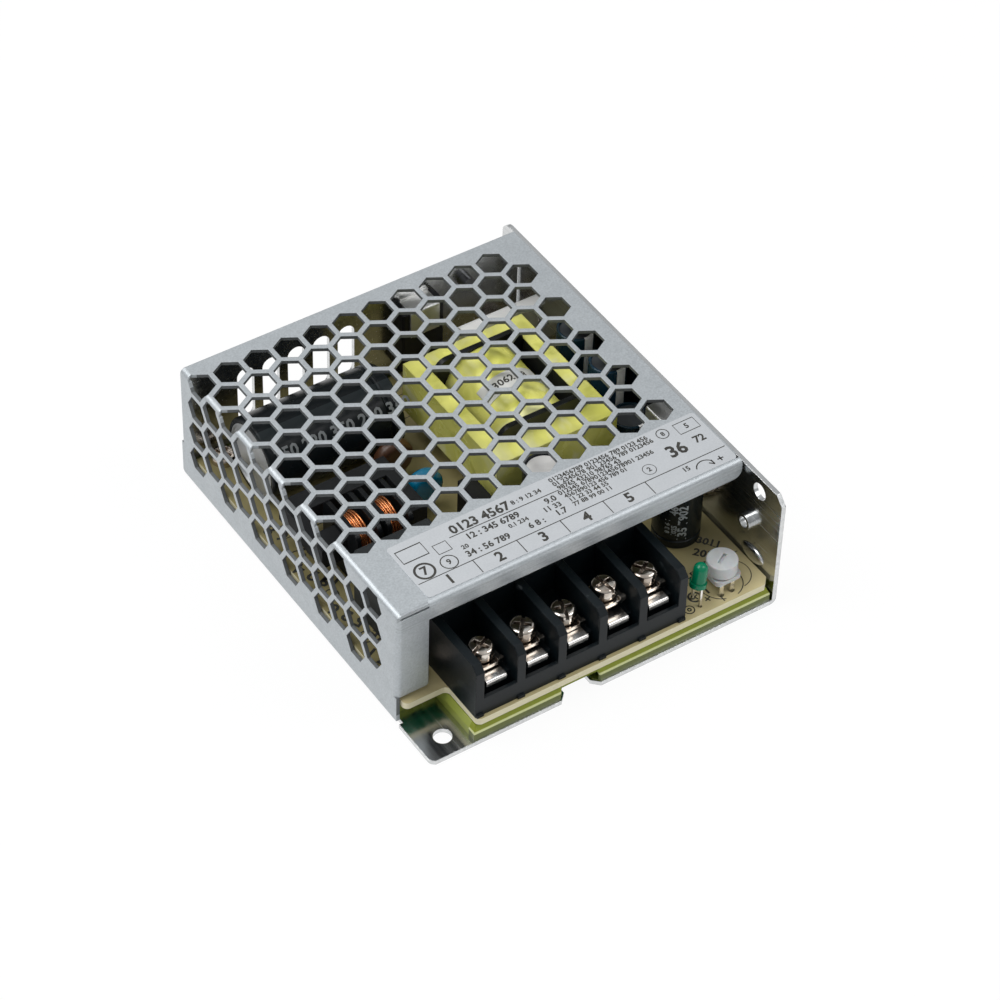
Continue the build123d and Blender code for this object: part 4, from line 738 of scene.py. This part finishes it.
# Rating label: a silver polyester film on the solid front band of the cover.
# It has plain rules, boxes, rings and rows of digits, a number over each pole and an arc with
# a plus sign over the trimmer.
silver_film = Finish("silver_film", (0.545, 0.565, 0.585), (0.515, 0.535, 0.555), 0.5,
                     spread=0.08, metallic=0.55, scale=2600.0, edge=0.05, speckle=0.2)
silver_film.dress("rating_label")
label_low, label_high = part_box("rating_label")
label_lift = 0.01 * mm
label_z = label_high.z + label_lift
label_print = bmesh.new()
rule_y = 4.0
rule_start, rule_end = label_low.x / mm + 0.4, label_high.x / mm - 0.3
pole_edges = [-20.6, -10.5, -0.45, 9.6, 19.6]
lane_starts = [label_low.x / mm] + pole_edges[:-1]
pole_numbers = [(str(number), 3.5, (start + end) / 2, rule_y / 2)
                for number, (start, end) in enumerate(zip(lane_starts, pole_edges), 1)]
draw(label_print, label_z, label_low.y,
     lines=[(rule_start, rule_y, rule_end, rule_y, 0.2), (-21.1, 11.4, 4.1, 11.1, 0.2),
            *[(x, 0.2, x, rule_y, 0.2) for x in pole_edges]],
     rings=[(-24.6, 6.0, 1.75, 0.24), (-29.9, 6.4, 2.0, 0.5), (30.4, 13.3, 1.3, 0.2),
            (22.4, 6.4, 1.4, 0.14)],
     boxes=[(-32.3, -26.6, 10.0, 13.4, 0.3), (-25.2, -22.2, 8.6, 11.2, 0.22),
            (33.4, 38.2, 11.2, 14.2, 0.22)],
     digits=pole_numbers + [
         ("0123 4567", 3.2, -13.2, 12.8), ("8 : 9 12 34", 1.6, -2.4, 12.9),
         ("12 : 345 6789", 2.2, -12.2, 9.7), ("9.0", 2.1, 1.2, 9.7), ("20", 1.5, -19.8, 7.8),
         ("0.1 234", 1.5, -7.5, 7.8), ("11 33", 1.8, 0.4, 7.8), ("34 : 56 789", 2.2, -15.8, 5.8),
         ("6 8 :", 2.1, -4.6, 5.8), ("1.7", 2.1, 1.2, 5.9),
         ("0123456789 0123456 789 0123 456", 1.6, 15.5, 14.1),
         ("01 2345678 901 23456 789 0123456", 1.6, 15.8, 12.8),
         ("98765 43210 98765 43", 1.6, 11.6, 11.5),
         ("012345 6789012345678901 23456", 1.6, 14.7, 10.2),
         ("4567890123 456 789 01", 1.5, 11.4, 8.9), ("11 22 33 44 55", 1.5, 8.8, 7.6),
         ("77 88 99 00 11", 1.5, 8.8, 6.2), ("36", 4.4, 30.2, 8.0), ("72", 2.6, 35.9, 8.4),
         ("8", 1.6, 30.4, 13.2), ("5", 1.9, 35.8, 12.7), ("15", 1.7, 28.6, 2.6),
         ("9", 1.9, -24.6, 6.0), ("2", 1.6, 22.4, 6.4), ("7", 3.0, -29.9, 6.4)])
arc_x, arc_y = 32.4, 0.7
ribbon(label_print, arc(arc_x * mm, label_low.y + arc_y * mm, 2.2 * mm, 160, 30), 0.26 * mm,
       label_z)
arrow_and_plus = [(1.9, 0.2, 1.0, 1.0), (1.9, 0.2, 1.8, 1.5), (3.0, 0.9, 4.4, 0.9),
                  (3.7, 0.2, 3.7, 1.6)]
draw(label_print, label_z, label_low.y,
     lines=[(arc_x + x0, arc_y + y0, arc_x + x1, arc_y + y1, 0.3)
            for x0, y0, x1, y1 in arrow_and_plus])
piece_from(label_print, "label_print", black_ink)


# Floor, light and camera of the studio: a pale floor, an even bright room and two soft lamps.
# The camera stands off the front left corner, about as high as it is far away.
floor_mesh = bmesh.new()
bmesh.ops.create_grid(floor_mesh, x_segments=1, y_segments=1, size=3.0)
floor_data = bpy.data.meshes.new("floor")
floor_mesh.to_mesh(floor_data)
floor_mesh.free()
floor = bpy.data.objects.new("floor", floor_data)
bpy.context.scene.collection.objects.link(floor)
floor_material = bpy.data.materials.new("floor_paint")
floor_material.use_nodes = True
floor_tree = floor_material.node_tree
floor_shader = floor_tree.nodes["Principled BSDF"]
floor_shader.inputs["Base Color"].default_value = (0.86, 0.86, 0.86, 1)
floor_shader.inputs["Roughness"].default_value = 0.9
floor_shader.inputs["Specular IOR Level"].default_value = 0.0
glow_share = 0.94
rays = floor_tree.nodes.new("ShaderNodeLightPath").outputs
seen = math_node(floor_tree, "MAXIMUM", rays["Is Camera Ray"],
                 math_node(floor_tree, "MAXIMUM", rays["Is Glossy Ray"],
                           rays["Is Transmission Ray"]))
glow = node(floor_tree, "Emission", Color=(1, 1, 1, 1), Strength=1.0)
floor_mix = node(floor_tree, "MixShader", i0=math_node(floor_tree, "MULTIPLY", seen, glow_share),
                 i1=floor_shader.outputs[0], i2=glow.outputs[0])
floor_tree.links.new(floor_mix.outputs[0], floor_tree.nodes["Material Output"].inputs["Surface"])
floor_data.materials.append(floor_material)

world = bpy.data.worlds.new("studio")
bpy.context.scene.world = world
world.use_nodes = True
sky = world.node_tree
sky_light = sky.nodes["Background"]
sky_place = sky.nodes.new("ShaderNodeTexCoord").outputs["Generated"]
direction = node(sky, "SeparateXYZ", i0=sky_place).outputs
brightness = ramp(sky, direction[2], -0.1, 0.9, low=0.28, high=0.66)
sky_rays = sky.nodes.new("ShaderNodeLightPath").outputs
white = math_node(sky, "MAXIMUM", sky_rays["Is Camera Ray"], sky_rays["Is Transmission Ray"])
sky.links.new(math_node(sky, "MAXIMUM", brightness, white), sky_light.inputs["Strength"])
sky_light.inputs["Color"].default_value = (0.97, 0.985, 1.0, 1)


def area_lamp(name, place, aim, size, power):
    light = bpy.data.lights.new(name, "AREA")
    light.shape = "DISK"
    light.size = size
    light.energy = power
    lamp = bpy.data.objects.new(name, light)
    bpy.context.scene.collection.objects.link(lamp)
    lamp.location = place
    lamp.rotation_mode = "QUATERNION"
    lamp.rotation_quaternion = (Vector(aim) - Vector(place)).to_track_quat("-Z", "Y")


lit_point = (0, 0, 0.01)
area_lamp("key_lamp", (-0.35, 0.25, 0.75), lit_point, size=0.7, power=5.4)
area_lamp("fill_lamp", (0.45, -0.35, 0.6), lit_point, size=0.5, power=2.0)

camera_place = (-0.295268, -0.435756, 0.529380)
camera_turn = (45.3175, -1.3501, -33.4351)
camera_data = bpy.data.cameras.new("camera")
camera_data.lens = 131.68
camera_data.sensor_width = 36.0
camera_data.clip_start = 0.01
camera_data.clip_end = 20.0
camera = bpy.data.objects.new("camera", camera_data)
bpy.context.scene.collection.objects.link(camera)
camera.location = camera_place
camera.rotation_euler = [math.radians(angle) for angle in camera_turn]
bpy.context.scene.camera = camera
bpy.context.scene.view_settings.view_transform = "Standard"
